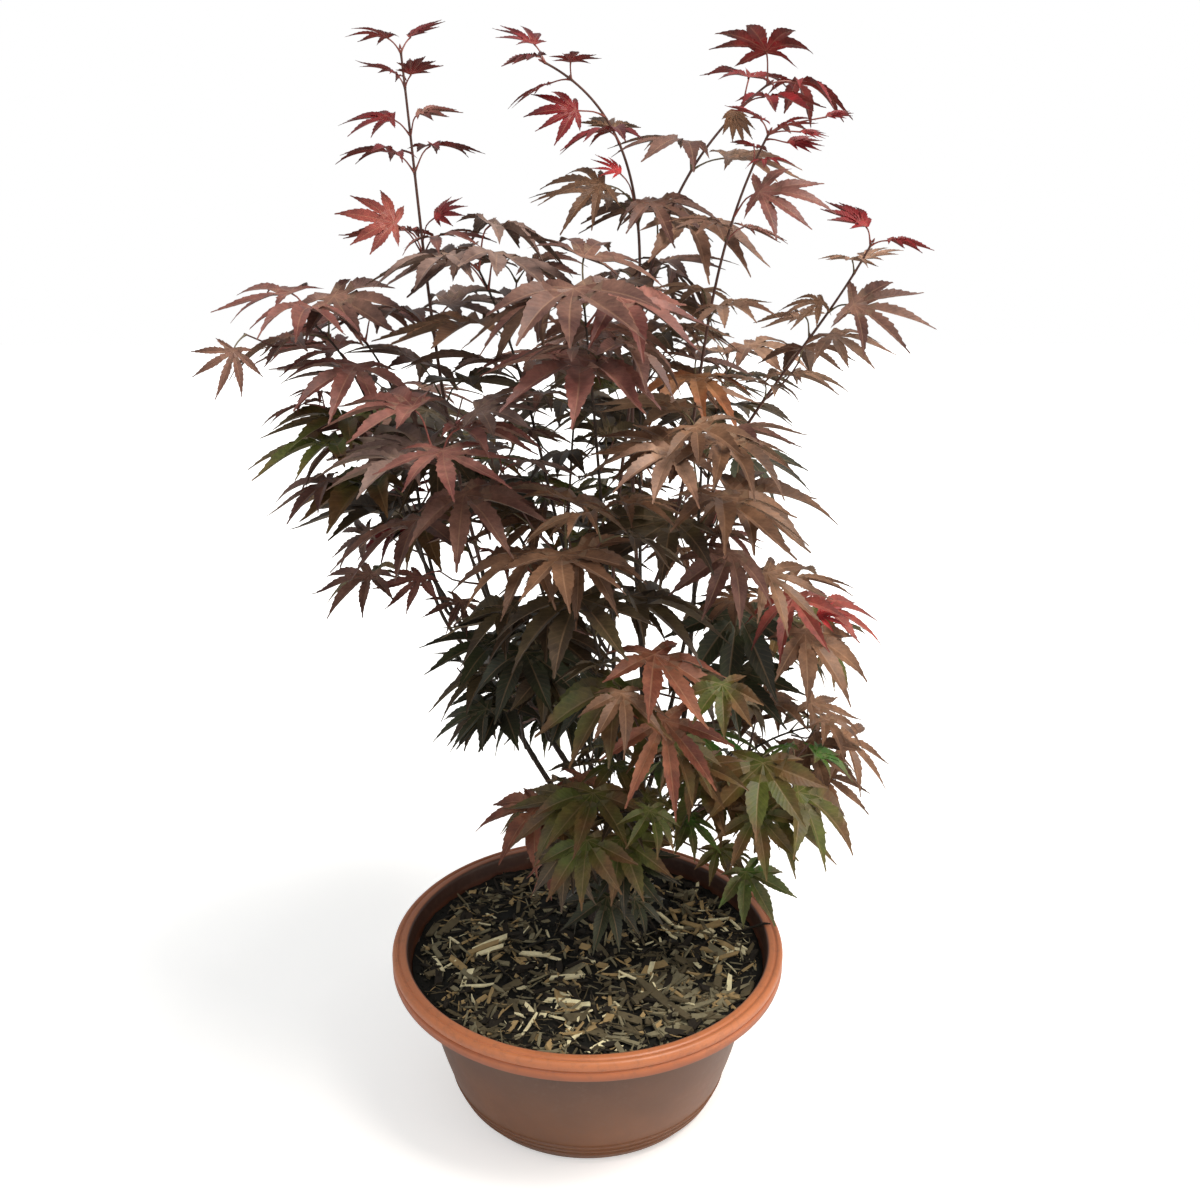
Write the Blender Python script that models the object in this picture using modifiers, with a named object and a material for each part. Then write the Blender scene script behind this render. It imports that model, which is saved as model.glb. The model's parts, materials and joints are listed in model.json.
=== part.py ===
# A young Japanese maple of many thin stems, in a round bowl of terracotta-coloured plastic.
# Metres, +Z up. The origin is the centre of the bowl's flat underside, and -Y faces the viewer.

import math
import random
from collections import namedtuple

import bmesh
import bpy
from mathutils import Vector
from mathutils.bvhtree import BVHTree

GAP = 0.0003  # clearance between two solids that meet

# Bowl
BOWL_HEIGHT = 0.128
BOWL_STEPS = 40
FOOT_RADIUS = 0.0945
WALL_TOP_RADIUS = 0.129
WALL_TOP = 0.106
WALL_SWELL = 0.6  # power of the wall's curve: below 1 it bellies out
WALL_THICKNESS = 0.003
FLOOR_THICKNESS = 0.004
WALL_HEIGHTS = (0.0, 0.006, 0.020, 0.042, 0.070)  # heights of the wall's rings below its top
RIM_RADIUS = 0.150
RIM_INNER_RADIUS = 0.138
RIM_BOTTOM = 0.113
SHOULDER_RADIUS = 0.1355  # inside of the step that widens the wall under the rim
SHOULDER_HEIGHT = 0.1115
BEAD = 0.0015  # half height of a bead on the rim
BOWL_SHARP_ANGLE = 40

# Bark mulch that fills the bowl
MULCH_TOP = 0.112
MULCH_STEPS = 32
CHIP_COUNT = 12
CHIP_LENGTH = (0.012, 0.028)
CHIP_WIDTH = (0.004, 0.008)
CHIP_THICKNESS = 0.003
CHIP_CLEAR_OF_TRUNK = 0.028
CHIP_CLEAR_OF_WALL = 0.018
CHIP_TILT = 12
MULCH_SEED = 5

# Trunk: a short leaning stub with a flare at the ground
TRUNK_FOOT = Vector((0.010, 0.050, MULCH_TOP + GAP))
TRUNK_TOP = Vector((0.041, 0.052, 0.240))
TRUNK_RISE = 68
TRUNK_TOP_RISE = 88
TRUNK_FLARE_RADIUS = 0.0115
TRUNK_RADIUS = 0.0066
TRUNK_TOP_RADIUS = 0.0050
FLARE_HEIGHT = 0.014
TRUNK_PIECES = 6

# Limbs
LIMB_STEP = 0.050  # length of one straight piece of a limb
PULL = 0.36  # how far a limb holds its first and last direction, as a share of its span
COLLAR = 0.0022  # a side limb leaves square to its parent for this length
TWIG_RADIUS = 0.0019  # at its foot, or less where the limb that it leaves is thin
TWIG_SHARE = 0.85  # a twig's foot is at most this share of the limb's radius
TWIG_TIP_RADIUS = 0.0009
ROUNDNESS = {"trunk": 3, "bough": 1, "twig": 0}  # bevel resolution of each kind of limb
LIMB_SHARP_ANGLE = 60
TEST_SIDES = 6  # of the plain tubes that leaves are tested against
TEST_CLEARANCE = 0.0006

# Leaves
LOBES = ((0, 1.00), (33, 0.95), (68, 0.78), (110, 0.46))  # angle from the middle lobe, share of the length
SHOULDER_PLACE = 0.50
SHOULDER_ANGLE = 11
SINUS_PLACE = 0.24
NOTCH_PLACE = 0.06
BASAL_ANGLE = 90  # lobes past this angle are small and have no shoulders
LOBE_DROP = 0.18  # drop of a lobe's tip, as a share of the leaf's length
SIDE_LOBE_DROP = 0.5  # a lobe square to the middle one drops by this share more
LEAF_HALF_THICKNESS = 0.0007
YOUNG_LEAF = 0.050  # leaves shorter than this have plain pointed lobes
STALK_RADIUS = 0.0007
STALK_SHARE = 0.42  # leaf stalk's length, as a share of the leaf's
STALK_SPREAD = 55  # angle between a leaf stalk and the twig
STALK_LIFT = 0.25  # how strongly a stalk turns up towards the light
LEAST_BEND = 25  # a blade bends down from the line of its stalk by at least this angle
FOLD_LIMIT = 0.2  # least cosine between the stalk and the blade's upper side
STEEP = 0.2  # below this level share a twig counts as upright, and its leaves are set out from +X
INTERNODE = 0.052
SHORT_INTERNODE = 0.036  # on side twigs that have stopped growing
TIP_PLACE = 0.002  # the tip pair of leaves stands this far below the twig's end
TIP_CROWDING = 0.38  # the first internode below a tip, as a share of a full one
CROWDING_EASE = 0.6  # what each further internode gains on the one above, up to a full one
BARE_FOOT = 0.006  # length of a twig's foot that bears no leaf
RIPENING = 0.16  # from the second pair down, each is longer by this share of a grown leaf
YOUNG_TIP = 0.8  # a twig whose tip leaves are a smaller share than this is still growing
YOUNG_LIFT = 40  # how far the topmost young leaves point up from their spray's own hang
CLEAR_ARCH = 0.045  # room kept above a blade, as a share of its length
CLEAR_BELOW = 0.0016
STALK_CLEAR = 0.006  # length of a stalk by its twig that the clearance test leaves out
STALK_CLEAR_SHARE = 0.3  # the same on a short stalk, as a share of it
LOWEST_LEAF = 0.122
RIM_CLEAR_RADIUS = 0.122
RIM_CLEAR_HEIGHT = 0.134
LEAF_SEED = 100

# How far a leaf strays from the rule, in degrees or as a share. Each further try strays more.
SIZE_PLAY = (0.92, 1.08)
STALK_PLAY = (0.8, 1.2)
LONGER_STALK = 0.25
TURN_PLAY = 30
SPREAD_PLAY = 18
BEARING_PLAY = 16
HANG_PLAY = (-12, 14)
ROLL_PLAY = 14
TRIES = 16
LOOSEST = 1.6
LATE_TRY = 0.7  # share of the tries after which a leaf is made smaller
LATE_SIZE = 0.8

Bough = namedtuple("Bough", "name place bearing reach height rise tip_rise radius tip_radius")
Spray = namedtuple(
    "Spray", "name parent place bearing reach height rise tip_rise pairs leaf turn hang tip_leaf"
)

# Bearings in degrees round the bowl's axis from +X, reach from that axis, height above the ground.
# A bough's place is its share of the trunk's length. A rise is the angle above level.
BOUGHS = (
    Bough("left_arching_bough", 0.42, 169.6, 0.111, 0.411, 50, 62, 0.0031, 0.0022),
    Bough("left_upright_bough", 0.62, 152.9, 0.088, 0.420, 52, 80, 0.0031, 0.0022),
    Bough("centre_bough", 1.0, 51.3, 0.058, 0.420, 85, 84, 0.0040, 0.0030),
    Bough("centre_left_bough", 0.90, 49.2, 0.029, 0.400, 60, 88, 0.0027, 0.0021),
    Bough("right_bough", 0.80, 20.6, 0.085, 0.420, 55, 84, 0.0029, 0.0021),
    Bough("front_bough", 0.70, -53.7, 0.037, 0.335, 45, 60, 0.0026, 0.0019),
    Bough("back_left_bough", 0.52, 105.6, 0.130, 0.360, 50, 66, 0.0028, 0.0020),
    Bough("back_right_bough", 0.74, 55.8, 0.151, 0.360, 48, 66, 0.0028, 0.0020),
)

SPRAYS = (
    Spray("left_leader", "left_upright_bough", 1.0, 180, 0.113, 0.762, 80, 84, 8, 0.068, 45, 2, 0.42),
    Spray("middle_left_leader", "centre_left_bough", 1.0, 180, 0.026, 0.755, 84, 22, 6, 0.068, 60, 6, 0.46),
    Spray("middle_right_leader", "centre_bough", 1.0, 14, 0.122, 0.744, 84, 36, 6, 0.070, 30, 6, 0.7),
    Spray("right_leader", "centre_bough", 0.80, -20, 0.118, 0.714, 58, 54, 5, 0.066, 75, 8, 0.36),
    Spray("far_right_leader", "right_bough", 1.0, -13, 0.181, 0.650, 62, 62, 4, 0.072, 0, 4, 0.42),
    Spray("left_arch", "left_arching_bough", 1.0, 188, 0.176, 0.600, 60, 44, 5, 0.062, 80, 4, 0.85),
    Spray("left_inner", "left_arching_bough", 0.90, 166, 0.158, 0.580, 66, 50, 4, 0.066, 20, 4, 0.85),
    Spray("left_front", "left_upright_bough", 0.86, 225, 0.130, 0.532, 46, 46, 4, 0.072, 40, 2, 0.85),
    Spray("centre_left_upper", "centre_left_bough", 0.75, 200, 0.072, 0.634, 60, 62, 4, 0.072, 20, 5, 0.85),
    Spray("centre_front_upper", "centre_left_bough", 0.88, -90, 0.082, 0.618, 64, 64, 4, 0.076, 0, 12, 0.9),
    Spray("right_front", "right_bough", 0.86, -50, 0.112, 0.535, 54, 58, 4, 0.074, 30, 6, 0.85),
    Spray("coral_front", "front_bough", 1.0, -66, 0.104, 0.375, 30, 20, 2, 0.072, 0, 30, 0.9),
    Spray("centre_front", "front_bough", 0.50, -97, 0.098, 0.470, 68, 50, 4, 0.076, 20, 8, 0.85),
    Spray("right_middle", "right_bough", 0.62, -4, 0.146, 0.400, 38, 20, 4, 0.068, 60, 18, 0.85),
    Spray("low_right", "trunk", 0.60, 7, 0.168, 0.296, 38, 18, 4, 0.066, 0, 18, 0.85),
    Spray("low_right_front", "trunk", 0.50, -21, 0.136, 0.284, 34, 16, 3, 0.068, 30, 24, 0.85),
    Spray("low_front", "trunk", 0.34, -85, 0.055, 0.262, 38, 5, 2, 0.064, 0, 20, 0.85),
    Spray("low_left_front", "trunk", 0.46, 240, 0.044, 0.265, 40, 12, 2, 0.064, 40, 24, 0.85),
    Spray("low_left", "left_arching_bough", 0.46, 206, 0.056, 0.348, 36, 30, 2, 0.064, 70, 16, 0.85),
    Spray("left_middle", "left_arching_bough", 0.80, 187, 0.150, 0.522, 48, 38, 4, 0.070, 10, 6, 0.85),
    Spray("back_left", "back_left_bough", 1.0, 131, 0.195, 0.500, 60, 45, 4, 0.072, 30, 6, 0.85),
    Spray("back", "back_left_bough", 0.82, 92, 0.190, 0.540, 62, 60, 4, 0.072, 0, 6, 0.85),
    Spray("back_right", "back_right_bough", 1.0, 56, 0.200, 0.538, 60, 52, 4, 0.070, 60, 6, 0.85),
    Spray("back_low_right", "back_right_bough", 0.60, 38, 0.185, 0.350, 30, 20, 3, 0.070, 20, 14, 0.85),
    Spray("back_low_left", "trunk", 0.30, 104, 0.145, 0.325, 44, 24, 3, 0.064, 0, 14, 0.85),
    Spray("back_upper", "centre_bough", 0.62, 72, 0.125, 0.606, 66, 66, 4, 0.070, 45, 6, 0.85),
    Spray("centre_low", "front_bough", 0.45, -30, 0.075, 0.300, 30, 20, 2, 0.070, 20, 18, 0.85),
    Spray("centre_low_back", "trunk", 0.70, 100, 0.120, 0.270, 35, 20, 2, 0.070, 20, 18, 0.85),
    Spray("left_low", "left_upright_bough", 0.40, 220, 0.056, 0.385, 44, 34, 2, 0.066, 20, 14, 0.85),
)

BOWL_COLOUR = "C4794F"
MULCH_COLOUR = "2B2520"
BARK_COLOUR = "3A2A22"
LEAF_COLOURS = ((0.65, "6E2A2E"), (0.35, "6B443A"), (0.0, "4A4A2C"))  # the height that each begins at
BOWL_ROUGHNESS = 0.55
MULCH_ROUGHNESS = 0.95
BARK_ROUGHNESS = 0.8
LEAF_ROUGHNESS = 0.6


def linear(code):
    """The linear colour of an sRGB hex code, with full alpha."""
    parts = [int(code[i : i + 2], 16) / 255 for i in (0, 2, 4)]
    curve = [p / 12.92 if p <= 0.04045 else ((p + 0.055) / 1.055) ** 2.4 for p in parts]
    return (*curve, 1.0)


def material(name, code, roughness):
    made = bpy.data.materials.new(name)
    made.use_nodes = True
    shader = made.node_tree.nodes["Principled BSDF"]
    shader.inputs["Base Color"].default_value = linear(code)
    shader.inputs["Roughness"].default_value = roughness
    shader.inputs["Metallic"].default_value = 0.0
    return made


def placed(name, mesh, base, colour, roughness):
    """A sub-part with its own material, on the empty that holds the whole plant."""
    made = bpy.data.objects.new(name, mesh)
    made.data.materials.clear()
    made.data.materials.append(material(name, colour, roughness))
    made.parent = base
    base.users_collection[0].objects.link(made)
    return made


def mesh_of(name, vertices, faces):
    mesh = bpy.data.meshes.new(name)
    mesh.from_pydata(vertices, [], faces)
    mesh.update()
    return mesh


def evaluated_mesh(thing):
    """The mesh that the object's modifiers or curve settings make."""
    graph = bpy.context.evaluated_depsgraph_get()
    graph.update()
    return bpy.data.meshes.new_from_object(thing.evaluated_get(graph))


def smooth(mesh, degrees):
    mesh.shade_smooth()
    mesh.set_sharp_from_angle(angle=math.radians(degrees))


def heading(bearing, rise):
    turn, lift = math.radians(bearing), math.radians(rise)
    level = math.cos(lift)
    return Vector((level * math.cos(turn), level * math.sin(turn), math.sin(lift)))


def spot(bearing, reach, height):
    return heading(bearing, 0) * reach + Vector((0, 0, height))


def bearing_of(direction):
    return math.degrees(math.atan2(direction.y, direction.x))


def cubic(start, out, into, end, share):
    rest = 1 - share
    return start * rest**3 + out * 3 * rest**2 * share + into * 3 * rest * share**2 + end * share**3


class Limb:
    """A tapering limb: the points of its axis and the radius at each."""

    def __init__(self, points, thick, thin):
        self.points = points
        steps = [(b - a).length for a, b in zip(points, points[1:])]
        self.length = sum(steps)
        self.along = [sum(steps[:i]) for i in range(len(points))]
        self.radii = [thick + (thin - thick) * s / self.length for s in self.along]

    def at(self, share):
        """Point, direction and radius at a share of the limb's length."""
        place = min(max(share, 0.0), 1.0) * self.length
        i = 0
        while i < len(self.points) - 2 and self.along[i + 1] < place:
            i += 1
        a, b = self.points[i], self.points[i + 1]
        part = (place - self.along[i]) / (b - a).length
        radius = self.radii[i] + (self.radii[i + 1] - self.radii[i]) * part
        return a.lerp(b, part), (b - a).normalized(), radius


def grown_limb(parent, place, tip, rise, tip_rise, thick, thin):
    """A limb from the parent's tip, or square off its side, that bends towards its own tip."""
    point, along, radius = parent.at(place)
    towards = bearing_of(tip - point)
    if place >= 1:
        first = along
        foot = point + along * GAP
        out = along
    else:
        side = heading(towards, 0)
        first = (side - along * side.dot(along)).normalized()
        foot = point + first * (radius + GAP)
        out = heading(towards, rise)
    start = foot + first * COLLAR
    span = (tip - start).length * PULL
    last = heading(towards, tip_rise)
    count = max(3, round((tip - start).length / LIMB_STEP))
    shares = [(i + 1) / count for i in range(count)]
    bend = [cubic(start, start + out * span, tip - last * span, tip, share) for share in shares]
    return Limb([foot, start, *bend], thick, thin)


def trunk_limb():
    """The trunk's axis, upright where it leaves the ground so that its cut is level."""
    start = TRUNK_FOOT + Vector((0, 0, FLARE_HEIGHT / 2))
    towards = bearing_of(TRUNK_TOP - start)
    span = (TRUNK_TOP - start).length * PULL
    out = start + heading(towards, TRUNK_RISE) * span
    into = TRUNK_TOP - heading(towards, TRUNK_TOP_RISE) * span
    shares = [(i + 1) / TRUNK_PIECES for i in range(TRUNK_PIECES)]
    bend = [cubic(start, out, into, TRUNK_TOP, share) for share in shares]
    trunk = Limb([TRUNK_FOOT, start, *bend], TRUNK_RADIUS, TRUNK_TOP_RADIUS)
    for i, along in enumerate(trunk.along):
        flare = max(0.0, 1 - along / FLARE_HEIGHT) ** 2
        trunk.radii[i] += (TRUNK_FLARE_RADIUS - TRUNK_RADIUS) * flare
    return trunk


def test_tube(limb):
    """Plain tube a little wider than a limb, for clearance tests."""
    vertices, faces = [], []
    last = len(limb.points) - 1
    across = limb.at(0)[1].orthogonal()
    for i, point in enumerate(limb.points):
        along = (limb.points[min(i + 1, last)] - limb.points[max(i - 1, 0)]).normalized()
        across = (across - along * across.dot(along)).normalized()
        beside = along.cross(across)
        for k in range(TEST_SIDES):
            turn = 2 * math.pi * k / TEST_SIDES
            ring = across * math.cos(turn) + beside * math.sin(turn)
            vertices.append(point + ring * (limb.radii[i] + TEST_CLEARANCE))
        if i:
            for k in range(TEST_SIDES):
                a = (i - 1) * TEST_SIDES + k
                b = (i - 1) * TEST_SIDES + (k + 1) % TEST_SIDES
                faces.append((a, b, b + TEST_SIDES, a + TEST_SIDES))
    return vertices, faces


Leaf = namedtuple("Leaf", "root hub forward left normal length")


def lobed_outline(grown):
    """Angle and share of the length round the blade's edge, from the notch at the stalk."""
    lobes = [(-angle, share) for angle, share in LOBES[:0:-1]] + list(LOBES)
    ring = [(-180, NOTCH_PLACE, 0.0)]
    for i, (angle, share) in enumerate(lobes):
        if i:
            before = lobes[i - 1]
            ring.append(((before[0] + angle) / 2, SINUS_PLACE * min(1, share + before[1]), 0.5))
        shouldered = grown and abs(angle) < BASAL_ANGLE
        if shouldered:
            ring.append((angle - SHOULDER_ANGLE, share * SHOULDER_PLACE, 1.0))
        ring.append((angle, share, 1.0))
        if shouldered:
            ring.append((angle + SHOULDER_ANGLE, share * SHOULDER_PLACE, 1.0))
    return ring


def leaf_body(leaf, above, below, stalk_from):
    """Closed mesh of one leaf: a lobed blade whose underside runs down into a three-sided stalk."""
    ring = lobed_outline(leaf.length > YOUNG_LEAF)
    vertices = [leaf.hub + leaf.normal * above]
    for angle, share, drooping in ring:
        turn = math.radians(angle)
        out = leaf.forward * math.cos(turn) + leaf.left * math.sin(turn)
        drop = LOBE_DROP * share * (1 + SIDE_LOBE_DROP * abs(math.sin(turn))) * drooping
        vertices.append(leaf.hub + (out * share - leaf.normal * drop) * leaf.length)
    stalk = (leaf.hub - leaf.root).normalized()
    neck, foot = [], []
    for angle in (-120, 0, 120):
        turn = math.radians(angle)
        out = leaf.forward * math.cos(turn) + leaf.left * math.sin(turn)
        neck.append(leaf.hub + out * STALK_RADIUS - leaf.normal * below)
        square = (out - stalk * out.dot(stalk)).normalized()
        foot.append(leaf.root + stalk * stalk_from + square * STALK_RADIUS)
    count = len(ring)
    vertices += neck + foot
    faces = []
    holder = [count + 1 + (0 if a[0] < -60 else 1 if a[0] < 60 else 2) for a in ring]
    for i in range(count):
        here, after = i + 1, (i + 1) % count + 1
        faces.append((0, here, after))
        faces.append((after, here, holder[i]))
        if holder[i] != holder[i - 1]:
            faces.append((here, holder[i - 1], holder[i]))
    for k in range(3):
        a, b = count + 1 + k, count + 1 + (k + 1) % 3
        faces.append((b, a, a + 3, b + 3))
    faces.append((count + 6, count + 5, count + 4))
    return vertices, faces


def standing_shape(vertices, faces):
    """What a clearance test needs of a shape: its faces, its middle and how far they reach from it."""
    middle = sum(vertices, Vector()) / len(vertices)
    reach = max((v - middle).length for v in vertices)
    return BVHTree.FromPolygons(vertices, faces), middle, reach


def over_ground(v):
    """Whether a point is above the mulch, and above the rim where it is near that."""
    return v.z > LOWEST_LEAF and (v.z > RIM_CLEAR_HEIGHT or math.hypot(v.x, v.y) < RIM_CLEAR_RADIUS)


def fits(vertices, faces, standing):
    """Whether a leaf clears the bowl and touches nothing that stands already. If so, it stands too."""
    if not all(over_ground(v) for v in vertices):
        return False
    tree, middle, reach = standing_shape(vertices, faces)
    for other, other_middle, other_reach in standing:
        if (other_middle - middle).length < reach + other_reach and tree.overlap(other):
            return False
    standing.append((tree, middle, reach))
    return True


def leaf_at(limb, share, azimuth, length, hang, draw, loose):
    """One try at a leaf: its stalk leaves the twig at an azimuth, and its blade hangs outward."""
    point, along, radius = limb.at(share)
    upright = Vector((0, 0, 1)) - along * along.z
    top = upright if upright.length > STEEP else Vector((1, 0, 0)) - along * along.x
    top.normalize()
    side = along.cross(top)
    turn = math.radians(azimuth + loose * draw.uniform(-TURN_PLAY, TURN_PLAY))
    outward = top * math.cos(turn) + side * math.sin(turn)
    spread = math.radians(STALK_SPREAD + loose * draw.uniform(-SPREAD_PLAY, SPREAD_PLAY))
    stalk = along * math.cos(spread) + outward * math.sin(spread) + Vector((0, 0, STALK_LIFT))
    stalk.normalize()
    stalk_length = length * STALK_SHARE * draw.uniform(*STALK_PLAY)
    hub = point + stalk * stalk_length * (1 + LONGER_STALK * loose * draw.random())
    bearing = bearing_of(stalk) + draw.uniform(-BEARING_PLAY, BEARING_PLAY) * (1 + loose)
    stalk_rise = math.degrees(math.asin(stalk.z))
    droop = max(hang + draw.uniform(*HANG_PLAY) * (1 + loose), LEAST_BEND - stalk_rise)
    roll = math.radians(draw.uniform(-ROLL_PLAY, ROLL_PLAY) * (1 + loose))
    forward = heading(bearing, -droop)
    left = heading(bearing + 90, 0)
    normal = forward.cross(left)
    left = left * math.cos(roll) + normal * math.sin(roll)
    normal = forward.cross(left)
    return Leaf(point, hub, forward, left, normal, length)


def folded_back(leaf):
    """Whether the blade leans back over its own stalk."""
    return (leaf.hub - leaf.root).normalized().dot(leaf.normal) < FOLD_LIMIT


def young(spray):
    return spray.tip_leaf < YOUNG_TIP


def leaf_nodes(limb, spray):
    """Share of the twig's length and leaf length at each pair of leaves, from the tip down."""
    internode = INTERNODE if young(spray) else SHORT_INTERNODE
    back = TIP_PLACE
    nodes = []
    for k in range(spray.pairs):
        ripe = min(1, spray.tip_leaf + RIPENING * max(0, k - 1))
        nodes.append((1 - back / limb.length, spray.leaf * ripe))
        back += internode * min(1, TIP_CROWDING + CROWDING_EASE * k)
        if back > limb.length - BARE_FOOT:
            break
    return nodes


def leaves_of(spray, limb, standing, draw):
    """Crosswise pairs of leaves down the twig, leaving out those that find no room."""
    leaves = []
    for k, (share, length) in enumerate(leaf_nodes(limb, spray)):
        hang = spray.hang - (YOUNG_LIFT / (1 + 2 * k) if young(spray) else 0)
        for half in (0, 180):
            azimuth = spray.turn + 90 * k + half
            for attempt in range(TRIES):
                loose = attempt / TRIES * LOOSEST
                size = length * draw.uniform(*SIZE_PLAY) * (LATE_SIZE if attempt > TRIES * LATE_TRY else 1)
                leaf = leaf_at(limb, share, azimuth, size, hang, draw, loose)
                clear = min(STALK_CLEAR, STALK_CLEAR_SHARE * (leaf.hub - leaf.root).length)
                body = leaf_body(leaf, CLEAR_ARCH * leaf.length, CLEAR_BELOW, clear)
                if not folded_back(leaf) and fits(*body, standing):
                    leaves.append(leaf)
                    break
    return leaves


def limb_mesh(name, limb, resolution):
    """The limb as a tapering round curve with capped ends, made a mesh."""
    curve = bpy.data.curves.new(name, "CURVE")
    curve.dimensions = "3D"
    curve.twist_mode = "MINIMUM"
    curve.bevel_depth = 1.0
    curve.bevel_resolution = resolution
    curve.use_fill_caps = True
    line = curve.splines.new("POLY")
    line.points.add(len(limb.points) - 1)
    for node, point, radius in zip(line.points, limb.points, limb.radii):
        node.co = (*point, 1)
        node.radius = radius
    guide = bpy.data.objects.new(name, curve)
    bpy.context.scene.collection.objects.link(guide)
    mesh = evaluated_mesh(guide)
    bpy.data.objects.remove(guide)
    shape = bmesh.new()
    shape.from_mesh(mesh)
    bmesh.ops.remove_doubles(shape, verts=shape.verts, dist=1e-6)
    bmesh.ops.recalc_face_normals(shape, faces=shape.faces)
    shape.to_mesh(mesh)
    shape.free()
    return mesh


def united(base, others):
    """Joins the meshes of a helper collection into the base object and removes the helpers."""
    helper = bpy.data.collections.new("helpers")
    bpy.context.scene.collection.children.link(helper)
    for i, mesh in enumerate(others):
        helper.objects.link(bpy.data.objects.new(f"helper_{i}", mesh))
    join = base.modifiers.new("join", "BOOLEAN")
    join.operation = "UNION"
    join.operand_type = "COLLECTION"
    join.collection = helper
    join.solver = "MANIFOLD"
    mesh = evaluated_mesh(base)
    base.modifiers.clear()
    base.data = mesh
    for thing in list(helper.objects):
        bpy.data.objects.remove(thing)
    bpy.data.collections.remove(helper)


def wall_radius(height):
    share = min(1.0, max(0.0, height) / WALL_TOP)
    return FOOT_RADIUS + (WALL_TOP_RADIUS - FOOT_RADIUS) * share**WALL_SWELL


def inner_radius(height):
    """Radius of the bowl's inside at a height, from its floor to the rim."""
    lower = wall_radius(height) - WALL_THICKNESS
    if height <= WALL_TOP:
        return lower
    if height < SHOULDER_HEIGHT:
        return lower + (SHOULDER_RADIUS - lower) * (height - WALL_TOP) / (SHOULDER_HEIGHT - WALL_TOP)
    share = (height - SHOULDER_HEIGHT) / (BOWL_HEIGHT - BEAD - SHOULDER_HEIGHT)
    return SHOULDER_RADIUS + (RIM_INNER_RADIUS - SHOULDER_RADIUS) * share


def turned(name, profile, steps):
    """Mesh of a profile of (radius, height) turned round the Z axis."""
    flat = mesh_of(name, [(r, 0, z) for r, z in profile], [])
    shape = bmesh.new()
    shape.from_mesh(flat)
    shape.verts.ensure_lookup_table()
    for i in range(len(profile) - 1):
        shape.edges.new((shape.verts[i], shape.verts[i + 1]))
    shape.to_mesh(flat)
    shape.free()
    blank = bpy.data.objects.new(name, flat)
    bpy.context.scene.collection.objects.link(blank)
    screw = blank.modifiers.new("turn", "SCREW")
    screw.steps = steps
    screw.render_steps = steps
    screw.use_merge_vertices = True
    screw.merge_threshold = 0.0001
    mesh = evaluated_mesh(blank)
    bpy.data.objects.remove(blank)
    return mesh


def bowl(base):
    floor = [(0, FLOOR_THICKNESS), (inner_radius(FLOOR_THICKNESS), FLOOR_THICKNESS)]
    inside = [(inner_radius(z), z) for z in (*WALL_HEIGHTS[2:], WALL_TOP, SHOULDER_HEIGHT)]
    lip = BOWL_HEIGHT - BEAD
    rim = [
        (RIM_INNER_RADIUS, lip),
        (RIM_INNER_RADIUS + BEAD, BOWL_HEIGHT),
        (RIM_RADIUS - BEAD, BOWL_HEIGHT - 0.4 * BEAD),
        (RIM_RADIUS, BOWL_HEIGHT - 1.6 * BEAD),
        (RIM_RADIUS - 0.3 * BEAD, BOWL_HEIGHT - 4 * BEAD),
        (RIM_RADIUS - BEAD, BOWL_HEIGHT - 4.8 * BEAD),
        (RIM_RADIUS, BOWL_HEIGHT - 5.8 * BEAD),
        (RIM_RADIUS, RIM_BOTTOM + 1.5 * BEAD),
        (RIM_RADIUS - BEAD, RIM_BOTTOM),
        (SHOULDER_RADIUS + WALL_THICKNESS, RIM_BOTTOM),
        (SHOULDER_RADIUS + WALL_THICKNESS, SHOULDER_HEIGHT - BEAD),
    ]
    outside = [(wall_radius(z), z) for z in (WALL_TOP, *WALL_HEIGHTS[::-1])]
    mesh = turned("bowl", [*floor, *inside, *rim, *outside, (0, 0)], BOWL_STEPS)
    smooth(mesh, BOWL_SHARP_ANGLE)
    placed("bowl", mesh, base, BOWL_COLOUR, BOWL_ROUGHNESS)


def mulch_chip(draw):
    """One flat chip of bark that lies half sunk in the mulch, or None where it has no place."""
    reach = (inner_radius(MULCH_TOP) - CHIP_CLEAR_OF_WALL) * math.sqrt(draw.random())
    place = spot(draw.uniform(0, 360), reach, MULCH_TOP)
    turn = draw.uniform(0, 360)
    tilt = draw.uniform(-CHIP_TILT, CHIP_TILT)
    length = draw.uniform(*CHIP_LENGTH)
    width = draw.uniform(*CHIP_WIDTH)
    if (place.xy - TRUNK_FOOT.xy).length < CHIP_CLEAR_OF_TRUNK:
        return None
    shape = bmesh.new()
    bmesh.ops.create_cube(shape, size=1.0)
    along = heading(turn, tilt)
    across = heading(turn + 90, 0)
    up = along.cross(across)
    for v in shape.verts:
        v.co = place + along * v.co.x * length + across * v.co.y * width + up * v.co.z * CHIP_THICKNESS
    mesh = bpy.data.meshes.new("chip")
    shape.to_mesh(mesh)
    shape.free()
    return mesh


def mulch(base):
    low = FLOOR_THICKNESS + GAP
    heights = (low, *WALL_HEIGHTS[2:], WALL_TOP, SHOULDER_HEIGHT, MULCH_TOP)
    # the turned facets of the mulch lie inside those of the bowl, whose flats are nearer the axis
    inset = GAP + inner_radius(MULCH_TOP) * (1 - math.cos(math.pi / BOWL_STEPS))
    side = [(inner_radius(z) - inset, z) for z in heights[::-1]]
    mesh = turned("mulch", [(0, MULCH_TOP), *side, (0, low)], MULCH_STEPS)
    made = placed("bark_mulch", mesh, base, MULCH_COLOUR, MULCH_ROUGHNESS)
    draw = random.Random(MULCH_SEED)
    chips = [mulch_chip(draw) for _ in range(CHIP_COUNT)]
    united(made, [chip for chip in chips if chip])


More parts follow.
